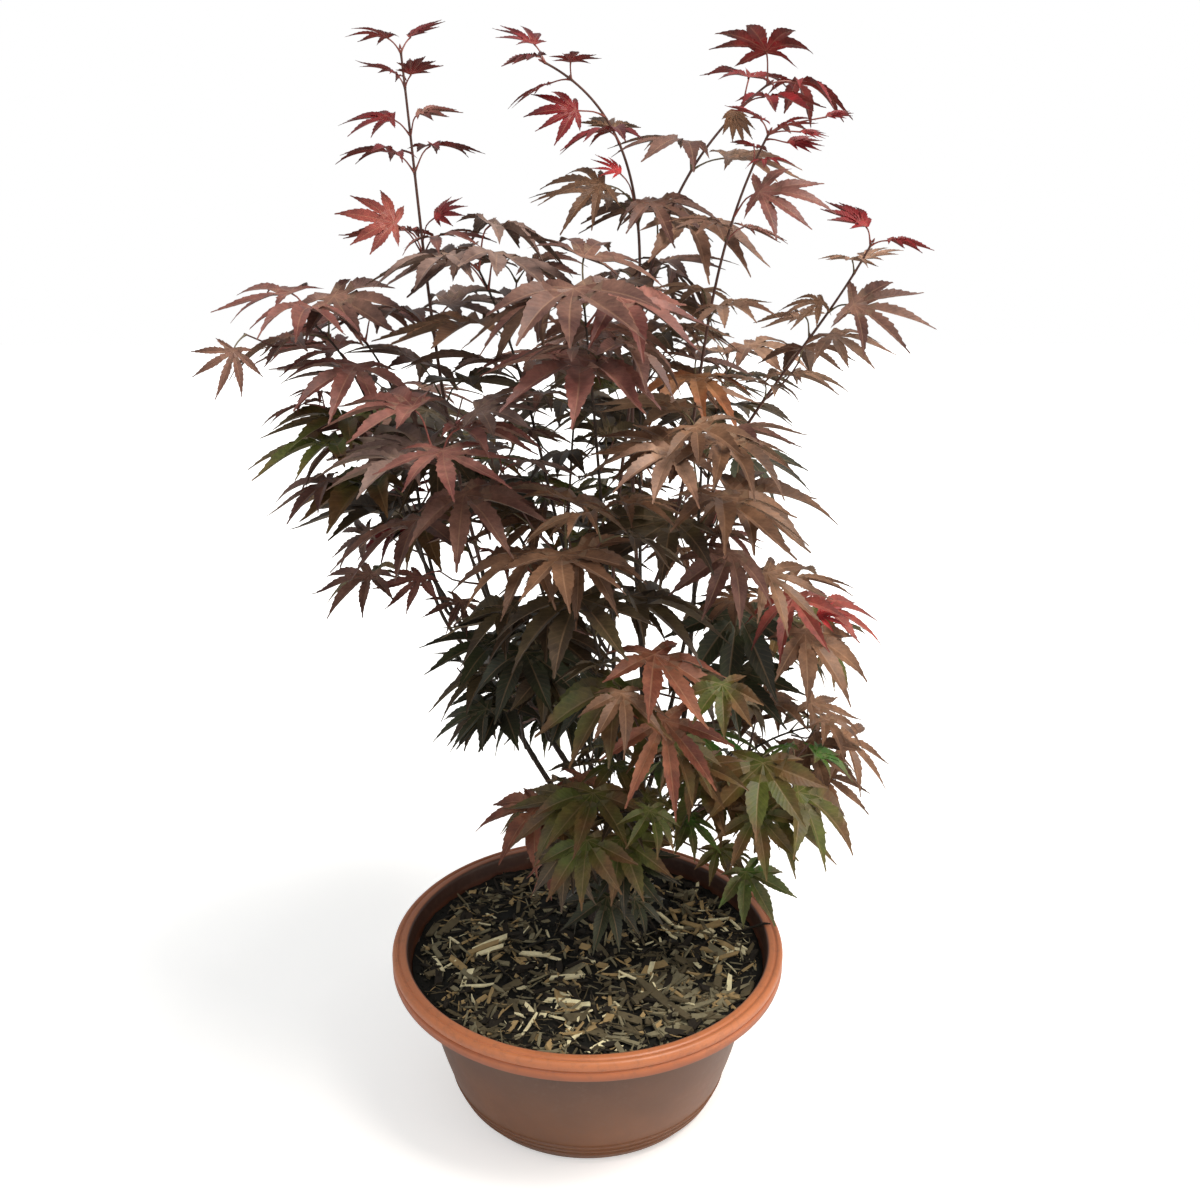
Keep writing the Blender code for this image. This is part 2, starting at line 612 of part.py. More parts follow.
def grown_limbs():
    """The trunk and the boughs, and the twig that carries each mass of leaves, by name."""
    limbs = {"trunk": trunk_limb()}
    for bough in BOUGHS:
        tip = spot(bough.bearing, bough.reach, bough.height)
        sizes = (bough.rise, bough.tip_rise, bough.radius, bough.tip_radius)
        limbs[bough.name] = grown_limb(limbs["trunk"], bough.place, tip, *sizes)
    twigs = {}
    for spray in SPRAYS:
        parent = limbs[spray.parent]
        tip = spot(spray.bearing, spray.reach, spray.height)
        thick = min(TWIG_RADIUS, parent.at(spray.place)[2] * TWIG_SHARE)
        sizes = (spray.rise, spray.tip_rise, thick, TWIG_TIP_RADIUS)
        twigs[spray.name] = grown_limb(parent, spray.place, tip, *sizes)
    return limbs, twigs


def wood(limbs, base):
    for name, limb in limbs.items():
        mesh = limb_mesh(name, limb, ROUNDNESS["trunk" if name == "trunk" else "bough"])
        smooth(mesh, LIMB_SHARP_ANGLE)
        placed(name, mesh, base, BARK_COLOUR, BARK_ROUGHNESS)


def foliage(limbs, twigs, base):
    """Grows the masses of leaves in turn, each clear of the limbs and of the masses before it."""
    standing = [standing_shape(*test_tube(limb)) for limb in (*limbs.values(), *twigs.values())]
    for i, spray in enumerate(SPRAYS):
        twig = twigs[spray.name]
        leaves = leaves_of(spray, twig, standing, random.Random(LEAF_SEED + i))
        colour = next(code for lowest, code in LEAF_COLOURS if spray.height > lowest)
        name = spray.name + "_foliage"
        made = placed(name, limb_mesh(name, twig, ROUNDNESS["twig"]), base, colour, LEAF_ROUGHNESS)
        bodies = [leaf_body(leaf, LEAF_HALF_THICKNESS, LEAF_HALF_THICKNESS, 0) for leaf in leaves]
        united(made, [mesh_of("leaf", *body) for body in bodies])


def main():
    for thing in list(bpy.data.objects):
        bpy.data.objects.remove(thing)
    collection = bpy.data.collections.new("potted_japanese_maple")
    bpy.context.scene.collection.children.link(collection)
    base = bpy.data.objects.new("plant_base", None)
    collection.objects.link(base)
    bowl(base)
    mulch(base)
    limbs, twigs = grown_limbs()
    wood(limbs, base)
    foliage(limbs, twigs, base)


main()
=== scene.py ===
# A young Japanese maple in a bowl of terracotta-coloured moulded plastic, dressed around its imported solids.
# Metres, +Z up. The origin is the centre of the bowl's flat underside, and -Y faces the viewer.
import json
import math
import random
from collections import namedtuple

import bpy
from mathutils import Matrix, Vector
from mathutils.bvhtree import BVHTree

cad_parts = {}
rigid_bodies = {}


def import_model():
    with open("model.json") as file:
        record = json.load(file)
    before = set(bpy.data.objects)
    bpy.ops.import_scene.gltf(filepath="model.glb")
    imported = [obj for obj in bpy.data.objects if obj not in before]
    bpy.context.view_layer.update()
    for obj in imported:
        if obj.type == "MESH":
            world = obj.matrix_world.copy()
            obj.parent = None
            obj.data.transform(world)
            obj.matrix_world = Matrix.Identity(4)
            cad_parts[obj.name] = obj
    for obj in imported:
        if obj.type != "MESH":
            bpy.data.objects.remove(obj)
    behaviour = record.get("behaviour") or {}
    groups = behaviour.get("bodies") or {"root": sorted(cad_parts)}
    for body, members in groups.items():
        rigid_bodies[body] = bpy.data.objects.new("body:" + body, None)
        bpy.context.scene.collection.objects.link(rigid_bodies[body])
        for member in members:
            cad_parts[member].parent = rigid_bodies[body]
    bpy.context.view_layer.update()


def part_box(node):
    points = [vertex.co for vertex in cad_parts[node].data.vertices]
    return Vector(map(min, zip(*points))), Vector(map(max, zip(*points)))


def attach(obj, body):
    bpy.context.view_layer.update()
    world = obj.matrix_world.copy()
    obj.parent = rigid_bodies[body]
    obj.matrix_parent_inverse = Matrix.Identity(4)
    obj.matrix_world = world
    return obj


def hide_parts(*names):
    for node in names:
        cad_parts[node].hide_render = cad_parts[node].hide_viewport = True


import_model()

bpy.context.scene.view_settings.view_transform = "Standard"


def selectOnly(thing=None):
    if bpy.context.mode != "OBJECT":
        bpy.ops.object.mode_set(mode="OBJECT")
    bpy.ops.object.select_all(action="DESELECT")
    if thing:
        thing.select_set(True)
        bpy.context.view_layer.objects.active = thing


def editAll():
    bpy.ops.object.mode_set(mode="EDIT")
    bpy.ops.mesh.select_mode(type="FACE")
    bpy.ops.mesh.select_all(action="SELECT")


def give(draw, amount):
    # a random play to either side
    return draw.uniform(-amount, amount)


def hexColour(code):
    # sRGB hex to the linear colour that the shader wants
    parts = [int(code[i:i + 2], 16) / 255 for i in (0, 2, 4)]
    return (*[p / 12.92 if p <= 0.04045 else ((p + 0.055) / 1.055) ** 2.4 for p in parts], 1.0)


def outOf(value):
    # a whole node stands for its first output, or for the colour that a mix gives
    if isinstance(value, bpy.types.Node):
        return value.outputs[2 if value.bl_idname == "ShaderNodeMix" else 0]
    return value


def addNode(mat, kind, inputs=None, operation=None, clamp=False):
    # inputs are numbers, colours, sockets or nodes to link from; a mix is always one of colours
    node = mat.node_tree.nodes.new("ShaderNode" + kind)
    if kind == "Mix":
        node.data_type = "RGBA"
    if operation:
        node.operation = operation
    if clamp:
        node.use_clamp = True
    for name, value in (inputs or {}).items():
        value = outOf(value)
        if isinstance(value, bpy.types.NodeSocket):
            mat.node_tree.links.new(value, node.inputs[name])
        else:
            node.inputs[name].default_value = value
    return node


def newMaterial(name, ior=1.5, specular=0.5):
    mat = bpy.data.materials.new(name)
    mat.use_nodes = True
    shader = mat.node_tree.nodes["Principled BSDF"]
    shader.inputs["IOR"].default_value = ior
    shader.inputs["Specular IOR Level"].default_value = specular
    return mat, shader, addNode(mat, "TexCoord").outputs["Object"]


def joinUp(mat, shader, colour=None, rough=None, bump=None):
    for name, value in (("Base Color", colour), ("Roughness", rough), ("Normal", bump)):
        if value:
            mat.node_tree.links.new(outOf(value), shader.inputs[name])
    return mat


# Camera: fitted to the rim and the foot of the bowl in the photograph
shot = {"place": (0.0095, -0.865, 0.707), "downTilt": 19.33, "lens": 39.0, "sensor": 36.0, "near": 0.02}

selectOnly()
bpy.ops.object.camera_add(location=shot["place"], rotation=(math.radians(90 - shot["downTilt"]), 0, 0))
camera = bpy.context.object
camera.data.lens = shot["lens"]
camera.data.sensor_width = shot["sensor"]
camera.data.clip_start = shot["near"]
bpy.context.scene.camera = camera

# Studio: a white sweep that glows a little, a broad soft lamp above on the right, a weak one in front and a
# low warm one from the right
studio = {
    "skyColour": "FFFFFF",
    "skySeen": 1.0,
    "skyLight": 0.50,
    "floorColour": "F6F6F4",
    "floorGlow": (0.44, 1.0),  # beside the bowl and far from it
    "glowReach": (0.35, 1.2),
    "floorSize": 8.0,
    "floorDrop": 0.0004,
    "aim": (0, 0, 0.35),
    "lamps": (
        {"place": (0.85, -0.45, 2.1), "size": 0.9, "power": 38, "colour": "FFF8F0"},
        {"place": (-0.9, -1.6, 1.5), "size": 1.2, "power": 7, "colour": "F4F7FF"},
        {"place": (1.35, -0.55, 0.45), "size": 0.8, "power": 6, "colour": "FFF0E0"},
    ),
}


def buildStudio():
    world = bpy.data.worlds.new("whiteStudio")
    bpy.context.scene.world = world
    world.use_nodes = True
    sky = world.node_tree.nodes["Background"]
    sky.inputs["Color"].default_value = hexColour(studio["skyColour"])
    ray = addNode(world, "LightPath")
    strength = addNode(world, "MapRange",
                       {"Value": ray.outputs["Is Camera Ray"], "To Min": studio["skyLight"],
                        "To Max": studio["skySeen"]})
    world.node_tree.links.new(outOf(strength), sky.inputs["Strength"])
    for i, lamp in enumerate(studio["lamps"]):
        bpy.ops.object.light_add(type="AREA", location=lamp["place"])
        light = bpy.context.object
        light.name = f"lamp{i + 1}"
        light.data.size = lamp["size"]
        light.data.energy = lamp["power"]
        light.data.color = hexColour(lamp["colour"])[:3]
        aim = Vector(studio["aim"]) - Vector(lamp["place"])
        light.rotation_euler = aim.to_track_quat("-Z", "Y").to_euler()
    selectOnly()
    bpy.ops.mesh.primitive_plane_add(size=studio["floorSize"], location=(0, 0, -studio["floorDrop"]))
    floor = bpy.context.object
    floor.name = "studio_floor"
    # matt white paper roll lit from behind: a very faint mottle and no gloss
    mat, shader, where = newMaterial("matt white paper", specular=0.1)
    shader.inputs["Emission Color"].default_value = hexColour(studio["floorColour"])
    ray = addNode(mat, "LightPath")
    away = addNode(mat, "VectorMath", {0: where}, "LENGTH")
    spread = addNode(mat, "MapRange", {"Value": away.outputs[1], "From Min": studio["glowReach"][0],
                                       "From Max": studio["glowReach"][1], "To Min": studio["floorGlow"][0],
                                       "To Max": studio["floorGlow"][1]})
    glow = addNode(mat, "Math", {0: ray.outputs["Is Camera Ray"], 1: spread}, "MULTIPLY")
    mat.node_tree.links.new(outOf(glow), shader.inputs["Emission Strength"])
    grain = addNode(mat, "TexNoise", {"Vector": where, "Scale": 3.0})
    tone = addNode(mat, "Mix", {0: grain, 6: hexColour(studio["floorColour"]), 7: hexColour("FFFFFF")})
    joinUp(mat, shader, tone)
    shader.inputs["Roughness"].default_value = 0.95
    floor.data.materials.append(mat)


buildStudio()
print("studio and camera are set")


# Bowl: injection moulded, so one turned shell with a flanged rim, two bands, and thin rings by the foot
bowlForm = {
    "sides": 128,
    "height": 0.128,
    "footRadius": 0.0945,
    "wallTopRadius": 0.129,
    "wallTop": 0.106,
    "wallSwell": 0.6,  # below 1 the wall bellies out
    "thickness": 0.003,
    "floor": 0.004,
    "shoulderRadius": 0.1355,
    "shoulderHeight": 0.1115,
    "rimInner": 0.138,
    "rings": (0.0095, 0.0150, 0.0205),  # heights of the thin rings
    "ringStands": 0.0010,
    "ringHalf": 0.0012,
    "footRound": 0.0012,
    "footEdge": ((0.0004, 0.0005), (0.0022, 0.0012)),  # beyond the foot's radius, and height
    "wallHeights": (0.0030, 0.0050, 0.0240, 0.0290, 0.0350, 0.0420, 0.0500, 0.0580, 0.0670, 0.0760, 0.0850,
                    0.0930, 0.1000),
    "innerHeights": (0.0900, 0.0700, 0.0500, 0.0300, 0.0150, 0.0080),
    "smoothAngle": 38,
    # the wall runs lighter at the foot as painted bounce light from the floor, darker at the top as painted
    # shade under the rim
    "wallColours": ("7C4E2E", "523422"),  # from the foot to the top of the wall
    "rimColours": ("984C2C", "C47A4E"),
    # the rim's back is darkened towards this: painted shade from the crown
    "rimBackShadeColour": "7A4630",
    # inside above the compost: a compost stain and painted shade from the crown
    "stainAndShadeColour": "40261C",
    "dirtColour": "6A5040",
    # the rim's section from the shoulder, over the top and down to the inner lip
    "rimSection": (
        (0.1385, 0.1100), (0.1386, 0.1130), (0.1484, 0.1130), (0.1496, 0.1136), (0.1500, 0.1148),
        (0.1500, 0.1186), (0.1496, 0.1197), (0.1486, 0.1204), (0.1486, 0.1211), (0.1496, 0.1218),
        (0.1500, 0.1229), (0.1500, 0.1251), (0.1496, 0.1264), (0.1486, 0.1275), (0.1472, 0.1280),
        (0.1462, 0.1278), (0.1454, 0.1270), (0.1446, 0.1270), (0.1438, 0.1278), (0.1428, 0.1280),
        (0.1404, 0.1280), (0.1392, 0.1276), (0.1384, 0.1266), (0.1380, 0.1250), (0.1368, 0.1180),
        (0.1355, 0.1115), (0.1272, 0.1072),
    ),
}


def wallRadius(height):
    foot, top = bowlForm["footRadius"], bowlForm["wallTopRadius"]
    share = min(1.0, max(0.0, height) / bowlForm["wallTop"])
    return foot + (top - foot) * share ** bowlForm["wallSwell"]


def innerRadius(height):
    lower = wallRadius(height) - bowlForm["thickness"]
    wallTop, shoulder, radius = bowlForm["wallTop"], bowlForm["shoulderHeight"], bowlForm["shoulderRadius"]
    if height <= wallTop:
        return lower
    if height < shoulder:
        return lower + (radius - lower) * ((height - wallTop) / (shoulder - wallTop))
    return radius + (bowlForm["rimInner"] - radius) * ((height - shoulder) / (bowlForm["height"] - shoulder))


def turnedFrom(name, sides, radius, height, section):
    # a disc pulled on from ring to ring of a section of (radius, height)
    selectOnly()
    bpy.ops.mesh.primitive_circle_add(vertices=sides, radius=radius, fill_type="NGON",
                                      location=(0, 0, height))
    made = bpy.context.object
    made.name = name
    bpy.ops.object.transform_apply(location=True, rotation=False, scale=False)
    editAll()
    for nextRadius, nextHeight in section:
        bpy.ops.mesh.extrude_region_move(TRANSFORM_OT_translate={"value": (0, 0, nextHeight - height)})
        grow = nextRadius / radius
        bpy.ops.transform.resize(value=(grow, grow, 1), center_override=(0, 0, nextHeight))
        radius, height = nextRadius, nextHeight
    bpy.ops.mesh.select_all(action="SELECT")
    bpy.ops.mesh.normals_make_consistent(inside=False)
    bpy.ops.object.mode_set(mode="OBJECT")
    return made


def buildBowl():
    foot = bowlForm["footRadius"]
    half = bowlForm["ringHalf"]
    across = ((-1, 0), (-0.4, 1), (0.4, 1), (1, 0))  # of a ring: place, and how far it stands out
    ringEdges = [(z + side * half, raised) for z in bowlForm["rings"] for side, raised in across]
    plain = [(z, 0) for z in (*bowlForm["wallHeights"], bowlForm["wallTop"])]
    outside = [(foot + out, z) for out, z in bowlForm["footEdge"]]
    levels = sorted(ringEdges + plain)
    outside += [(wallRadius(z) + raised * bowlForm["ringStands"], z) for z, raised in levels]
    down = (bowlForm["wallTop"], *bowlForm["innerHeights"], bowlForm["floor"])
    inside = [(wallRadius(z) - bowlForm["thickness"], z) for z in down]
    section = [*outside, *bowlForm["rimSection"], *inside]
    made = turnedFrom("moulded_bowl", bowlForm["sides"], foot - bowlForm["footRound"], 0.0, section)
    bpy.ops.object.shade_smooth_by_angle(angle=math.radians(bowlForm["smoothAngle"]))
    # injection moulded polypropylene, satin: warm orange on the rim, lighter towards its top as a painted
    # highlight and darker at its back as painted shade; brown with a cloudy tone on the wall, lighter by the
    # foot as painted bounce light and darker under the rim as painted shade, and dusty; dark inside above the
    # compost, a compost stain and painted shade; with a fine grain from the mould
    mat, shader, where = newMaterial("satin terracotta polypropylene", ior=1.49, specular=0.5)
    parts = addNode(mat, "SeparateXYZ", {"Vector": where})
    wallLow, wallHigh, rimDark, rimLight = map(hexColour, bowlForm["wallColours"] + bowlForm["rimColours"])
    cloud = addNode(mat, "TexNoise", {"Vector": where, "Scale": 22.0, "Detail": 4.0})
    high = addNode(mat, "MapRange", {"Value": parts.outputs["Z"], "From Min": 0.105, "From Max": 0.118})
    # painted light and shade: the wall is lighter by the foot and darker up under the rim
    climb = addNode(mat, "MapRange", {"Value": parts.outputs["Z"], "From Max": 0.1})
    wallLitToShaded = addNode(mat, "Mix", {0: climb, 6: wallLow, 7: wallHigh})
    cloudy = addNode(mat, "MapRange",
                     {"Value": cloud, "From Min": 0.3, "From Max": 0.7, "To Min": 0.86, "To Max": 1.14})
    wall = addNode(mat, "VectorMath", {0: wallLitToShaded, "Scale": cloudy}, "SCALE")
    # painted highlight: the rim grows lighter towards its top, where the light falls, with a random cloud
    # over it
    rise = addNode(mat, "MapRange",
                   {"Value": parts.outputs["Z"], "From Min": 0.114, "From Max": 0.127, "To Max": 0.5})
    cloudAndTopLight = addNode(mat, "Math", {0: cloud, 1: 0.5, 2: rise}, "MULTIPLY_ADD")
    rim = addNode(mat, "Mix", {0: cloudAndTopLight, 6: rimDark, 7: rimLight})
    # painted shade: the rim darkens towards its back, where the crown shades it
    behind = addNode(mat, "MapRange",
                     {"Value": parts.outputs["Y"], "From Min": -0.02, "From Max": 0.11, "To Max": 0.65})
    rimWithBackShade = addNode(mat, "Mix", {0: behind, 6: rim, 7: hexColour(bowlForm["rimBackShadeColour"])})
    clean = addNode(mat, "Mix", {0: high, 6: wall, 7: rimWithBackShade})
    flat = addNode(mat, "VectorMath", {0: where, 1: (1, 1, 0)}, "MULTIPLY")
    out = addNode(mat, "VectorMath", {0: flat}, "LENGTH")
    # dark inside above the compost: partly a compost stain and partly painted shade from the crown
    inside = addNode(mat, "MapRange", {"Value": out.outputs[1], "From Min": 0.1402, "From Max": 0.1388})
    stainedAndShaded = addNode(mat, "Math", {0: inside, 1: high}, "MULTIPLY")
    body = addNode(mat, "Mix", {0: stainedAndShaded, 6: clean, 7: hexColour(bowlForm["stainAndShadeColour"])})
    # dust and splashes of compost: thin on the wall, thicker by the foot
    low = addNode(mat, "MapRange", {"Value": parts.outputs["Z"], "From Min": 0.030, "From Max": 0.0})
    speck = addNode(mat, "TexNoise", {"Vector": where, "Scale": 160.0, "Detail": 6.0, "Roughness": 0.7})
    lay = addNode(mat, "MapRange", {"Value": speck, "From Min": 0.50, "From Max": 0.78})
    dirt = addNode(mat, "Math", {0: lay, 1: 0.45}, "MULTIPLY")
    soiled = addNode(mat, "Math", {0: low, 1: 0.15, 2: dirt}, "MULTIPLY_ADD", True)
    final = addNode(mat, "Mix", {0: soiled, 6: body, 7: hexColour(bowlForm["dirtColour"])})
    grain = addNode(mat, "TexNoise", {"Vector": where, "Scale": 900.0, "Detail": 2.0})
    bump = addNode(mat, "Bump", {"Strength": 0.12, "Distance": 0.0003, "Height": grain})
    rough = addNode(mat, "MapRange", {"Value": speck, "To Min": 0.32, "To Max": 0.50})
    joinUp(mat, shader, final, rough, bump)
    made.data.materials.append(mat)
    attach(made, "root")
    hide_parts("bowl")


buildBowl()
print("bowl is modelled")


# Compost and bark: a crumbly bed that fills the bowl, crumbs, and chips of chopped bark strewn over it
bedForm = {
    "sides": 192,
    "rings": 52,
    "top": 0.1132,
    "gap": 0.0005,
    "floorGap": 0.0003,
    "sideHeights": (0.02, 0.042, 0.07, 0.09, 0.106),
    "surfaceDepth": 0.001,
    "relief": (("hollows", 0.020, 0.0050), ("crumbs", 0.0045, 0.0042)),  # size and strength
    "smoothAngle": 50,
    "compost": ("191813", 0.45),  # colour, and how far its streaks stray from it
    "greyCrumb": ("34322A", 0.4),
    "chipStreaks": 0.30,
    "crumbLift": (-0.0003, 0.0010),
    "crumbTilt": 60,
    "crumbClear": 0.004,  # from the wall
    "crumbAngle": 25,
    "chipAngle": 18,
    "chipLift": (0.0002, 0.0024),
    "laidLift": 0.0022,
    "laidLean": 10,
    "thinned": 0.55,  # share of chips left out in the shade
    "longShare": 0.10,
    "longer": 1.25,
    "heapLonger": 0.45,
    "overhang": 0.004,  # how far a chip's end may reach past the others' middles
    "crumbs": 1900,
    "crumbShuffle": 0.28,
    "crumbKinds": 5,
    "darkCrumbs": 0.8,
    "crumbSize": (0.0012, 0.0034),
    "chips": 2300,
    "chipLength": (0.005, 0.021, 0.009),
    "tilt": 13,
    "lean": 22,
    # in the shaded patch more of the chips are dark: painted shade
    "shade": (0.01, 0.04, 0.05),  # x, y and spread of the bare shaded patch round the stems
    "wallClear": 0.006,
    "seed": 21,
    "heap": (0.085, -0.085, 0.055),  # x, y and spread of the bark piled by the rim
    "heapHeight": 0.0035,
    # long chips that mark the real bed: both ends on the surface, kind of chip and tone
    "laid": (
        ((0.039, -0.043), (0.073, -0.094), "curl", "weathered bark"),
        ((0.050, -0.040), (0.080, -0.076), "needle", "tan sapwood"),
        ((0.024, -0.066), (0.078, -0.044), "needle", "cream sapwood"),
        ((0.058, -0.084), (0.092, -0.070), "curl", "grey-olive bark"),
        ((-0.094, -0.006), (-0.070, 0.010), "sliver", "tan sapwood"),
        ((-0.090, -0.001), (-0.064, 0.017), "sliver", "cream sapwood"),
        ((-0.086, -0.008), (-0.066, 0.004), "sliver", "cream sapwood"),
        ((-0.052, -0.004), (-0.030, -0.010), "sliver", "cream sapwood"),
        ((-0.028, -0.038), (-0.004, -0.034), "sliver", "cream sapwood"),
        ((-0.024, -0.030), (-0.014, -0.046), "curl", "tan sapwood"),
        ((-0.030, -0.062), (-0.006, -0.066), "sliver", "cream sapwood"),
        ((0.076, 0.040), (0.098, 0.026), "sliver", "tan sapwood"),
        ((0.082, 0.004), (0.106, -0.006), "sliver", "tan sapwood"),
        ((0.104, 0.002), (0.122, -0.002), "sliver", "cream sapwood"),
    ),
    "twigRadii": (0.0011, 0.0010, 0.0009, 0.0006),
    "twig": (Vector((0.104, 0.024, 0.1135)), Vector((0.122, 0.020, 0.1190)), Vector((0.1385, 0.0150, 0.1290)),
             Vector((0.1430, 0.0130, 0.1300))),
}


def nearness(place, x, y, spread):
    # 1 at a spot on the ground, falling off round it
    return math.exp(-((place.x - x) ** 2 + (place.y - y) ** 2) / spread ** 2)


def pressRelief(made, name, size, strength, direction="NORMAL", group=""):
    cloud = bpy.data.textures.new(name, "CLOUDS")
    cloud.noise_scale = size
    cloud.noise_depth = 2
    bpy.ops.object.modifier_add(type="DISPLACE")
    wave = made.modifiers[-1]
    wave.texture = cloud
    wave.direction = direction
    wave.vertex_group = group
    wave.strength = strength
    bpy.ops.object.modifier_apply(modifier=wave.name)


def buildBed():
    low = bowlForm["floor"] + bedForm["floorGap"]
    gap = bedForm["gap"]
    edge = bedForm["top"]
    side = [(innerRadius(z) - gap, z) for z in (*bedForm["sideHeights"], edge)]
    rim = innerRadius(edge) - gap
    count = bedForm["rings"]
    flat = [(rim * (1 - (i + 1) / (count + 1)), edge) for i in range(count)]
    made = turnedFrom("compost_bed", bedForm["sides"], innerRadius(low) - gap, low, [*side, *flat])
    upper = made.vertex_groups.new(name="surface")
    onTop = [v.index for v in made.data.vertices if v.co.z > edge - bedForm["surfaceDepth"]]
    upper.add(onTop, 1.0, "REPLACE")
    for v in made.data.vertices:
        if v.co.z > edge - bedForm["surfaceDepth"]:
            v.co.z += bedForm["heapHeight"] * nearness(v.co, *bedForm["heap"])
    for name, size, strength in bedForm["relief"]:
        pressRelief(made, name, size, strength, "Z", upper.name)
    bpy.ops.object.shade_smooth_by_angle(angle=math.radians(bedForm["smoothAngle"]))
    made.vertex_groups.clear()
    return made


def shapeOf(block):
    shape = ([v.co.copy() for v in block.data.vertices], [tuple(p.vertices) for p in block.data.polygons])
    bpy.data.objects.remove(block)
    return shape


# Kinds of chip: share of the chips, size beside the others, then of a chip of length 1 its width, height,
# cuts, roughness, width and slant of its ends, and curl
Chip = namedtuple("Chip", "share size width height cuts shuffle ends slant curl")
chipKinds = {
    "sliver": Chip(0.26, 1, 0.17, 0.08, 1, 0.016, 0.80, 0.7, 0.00),
    "curl": Chip(0.20, 1, 0.11, 0.06, 2, 0.010, 0.65, 0.3, 0.06),
    "flake": Chip(0.14, 1, 0.34, 0.10, 1, 0.034, 0.90, -0.5, 0.02),
    "needle": Chip(0.22, 1, 0.055, 0.045, 1, 0.006, 0.60, 0.0, -0.03),
    "chunk": Chip(0.06, 0.5, 0.60, 0.30, 1, 0.060, 0.95, 0.3, 0.00),
    "paring": Chip(0.12, 1, 0.22, 0.05, 2, 0.018, 0.75, -0.9, -0.06),
}


def chipShape(kind, seed):
    # one chip, modelled from a block: cut up, roughened, its ends narrowed and slanted, and curled
    selectOnly()
    bpy.ops.mesh.primitive_cube_add(size=1.0)
    block = bpy.context.object
    block.scale = (1, kind.width, kind.height)
    bpy.ops.object.transform_apply(location=False, rotation=False, scale=True)
    editAll()
    bpy.ops.mesh.subdivide(number_cuts=kind.cuts)
    bpy.ops.transform.vertex_random(offset=kind.shuffle, seed=seed)
    bpy.ops.object.mode_set(mode="OBJECT")
    for v in block.data.vertices:
        along = v.co.x / 0.5
        taper = 1 - (1 - kind.ends) * abs(along) ** 3
        v.co.y *= taper
        v.co.z = v.co.z * taper + kind.curl * along * along
        v.co.x += kind.slant * v.co.y
    return shapeOf(block)


def crumbShape(seed):
    selectOnly()
    bpy.ops.mesh.primitive_ico_sphere_add(subdivisions=1, radius=0.5)
    lump = bpy.context.object
    editAll()
    bpy.ops.transform.vertex_random(offset=bedForm["crumbShuffle"], seed=seed)
    bpy.ops.object.mode_set(mode="OBJECT")
    return shapeOf(lump)


def newHeap():
    # what many small shapes are gathered in before they become one mesh
    return {"points": [], "faces": [], "slots": [], "uvs": []}


def addShape(heap, points, faces, slots, uvs=None):
    base = len(heap["points"])
    heap["points"] += points
    heap["faces"] += [tuple(i + base for i in face) for face in faces]
    heap["slots"] += slots if isinstance(slots, list) else [slots] * len(faces)
    heap["uvs"] += uvs if uvs else [(0.5, 0.0)] * len(points)


def pieceFrom(heap, name, materials, smoothAngle):
    mesh = bpy.data.meshes.new(name)
    mesh.from_pydata(heap["points"], [], heap["faces"])
    for mat in materials:
        mesh.materials.append(mat)
    mesh.polygons.foreach_set("material_index", heap["slots"])
    layer = mesh.uv_layers.new(name="alongLobe")
    corners = [0] * len(mesh.loops)
    mesh.loops.foreach_get("vertex_index", corners)
    layer.data.foreach_set("uv", [value for i in corners for value in heap["uvs"][i]])
    mesh.shade_smooth()
    mesh.set_sharp_from_angle(angle=math.radians(smoothAngle))
    made = bpy.data.objects.new(name, mesh)
    bpy.context.scene.collection.objects.link(made)
    return made


def strewn(shape, place, along, across, up, size):
    points, faces = shape
    return [place + (along * p.x + across * p.y + up * p.z) * size for p in points], faces


def layChip(heap, shape, middle, along, lean, length, tone):
    # flat along its line, leaning to one side
    across = heading(bearingOf(along) + 90, lean)
    up = along.cross(across).normalized()
    points, faces = strewn(shape, middle, along, up.cross(along), up, length)
    addShape(heap, points, faces, tone)


def heading(bearing, rise):
    turn, lift = math.radians(bearing), math.radians(rise)
    level = math.cos(lift)
    return Vector((level * math.cos(turn), level * math.sin(turn), math.sin(lift)))


def bearingOf(direction):
    return math.degrees(math.atan2(direction.y, direction.x))


def spot(bearing, reach, height):
    return heading(bearing, 0) * reach + Vector((0, 0, height))


def tubeAlong(points, radii, sides):
    # rings of points along a line, open at both ends
    vertices, faces = [], []
    last = len(points) - 1
    across = (points[1] - points[0]).orthogonal()
    for i, point in enumerate(points):
        along = (points[min(i + 1, last)] - points[max(i - 1, 0)]).normalized()
        across = (across - along * across.dot(along)).normalized()
        beside = along.cross(across)
        for k in range(sides):
            turn = 2 * math.pi * k / sides
            vertices.append(point + (across * math.cos(turn) + beside * math.sin(turn)) * radii[i])
        if i:
            for k in range(sides):
                a, b = (i - 1) * sides + k, (i - 1) * sides + (k + 1) % sides
                faces.append((a, b, b + sides, a + sides))
    return vertices, faces


def closedTube(points, radii, sides):
    vertices, faces = tubeAlong(points, radii, sides)
    end = (len(points) - 1) * sides
    return vertices, [*faces, tuple(range(sides))[::-1], tuple(range(end, end + sides))]


# Colours of the chips and their shares: the least part of each, and what pale spots, heap and shade add; what
# the shade adds is painted shade, more dark chips where the crown shades the bed
BarkTone = namedtuple("BarkTone", "colour share least pale pile shade")
barkTones = {
    "weathered bark": BarkTone("605640", 0.32, 1, 0, 0, 0),
    "grey-olive bark": BarkTone("827A60", 0.22, 1, 0, 1.6, 0),
    # dark chips everywhere, with an extra share round the stems as painted shade
    "wet dark bark, thicker in painted shade": BarkTone("2A241C", 0.26, 1, 0, 0, 1.5),
    "tan sapwood": BarkTone("AA9064", 0.13, 0.8, 3.0, 0, 0),
    "cream sapwood": BarkTone("F4E4B8", 0.08, 0.5, 6.0, 0, 0),
}
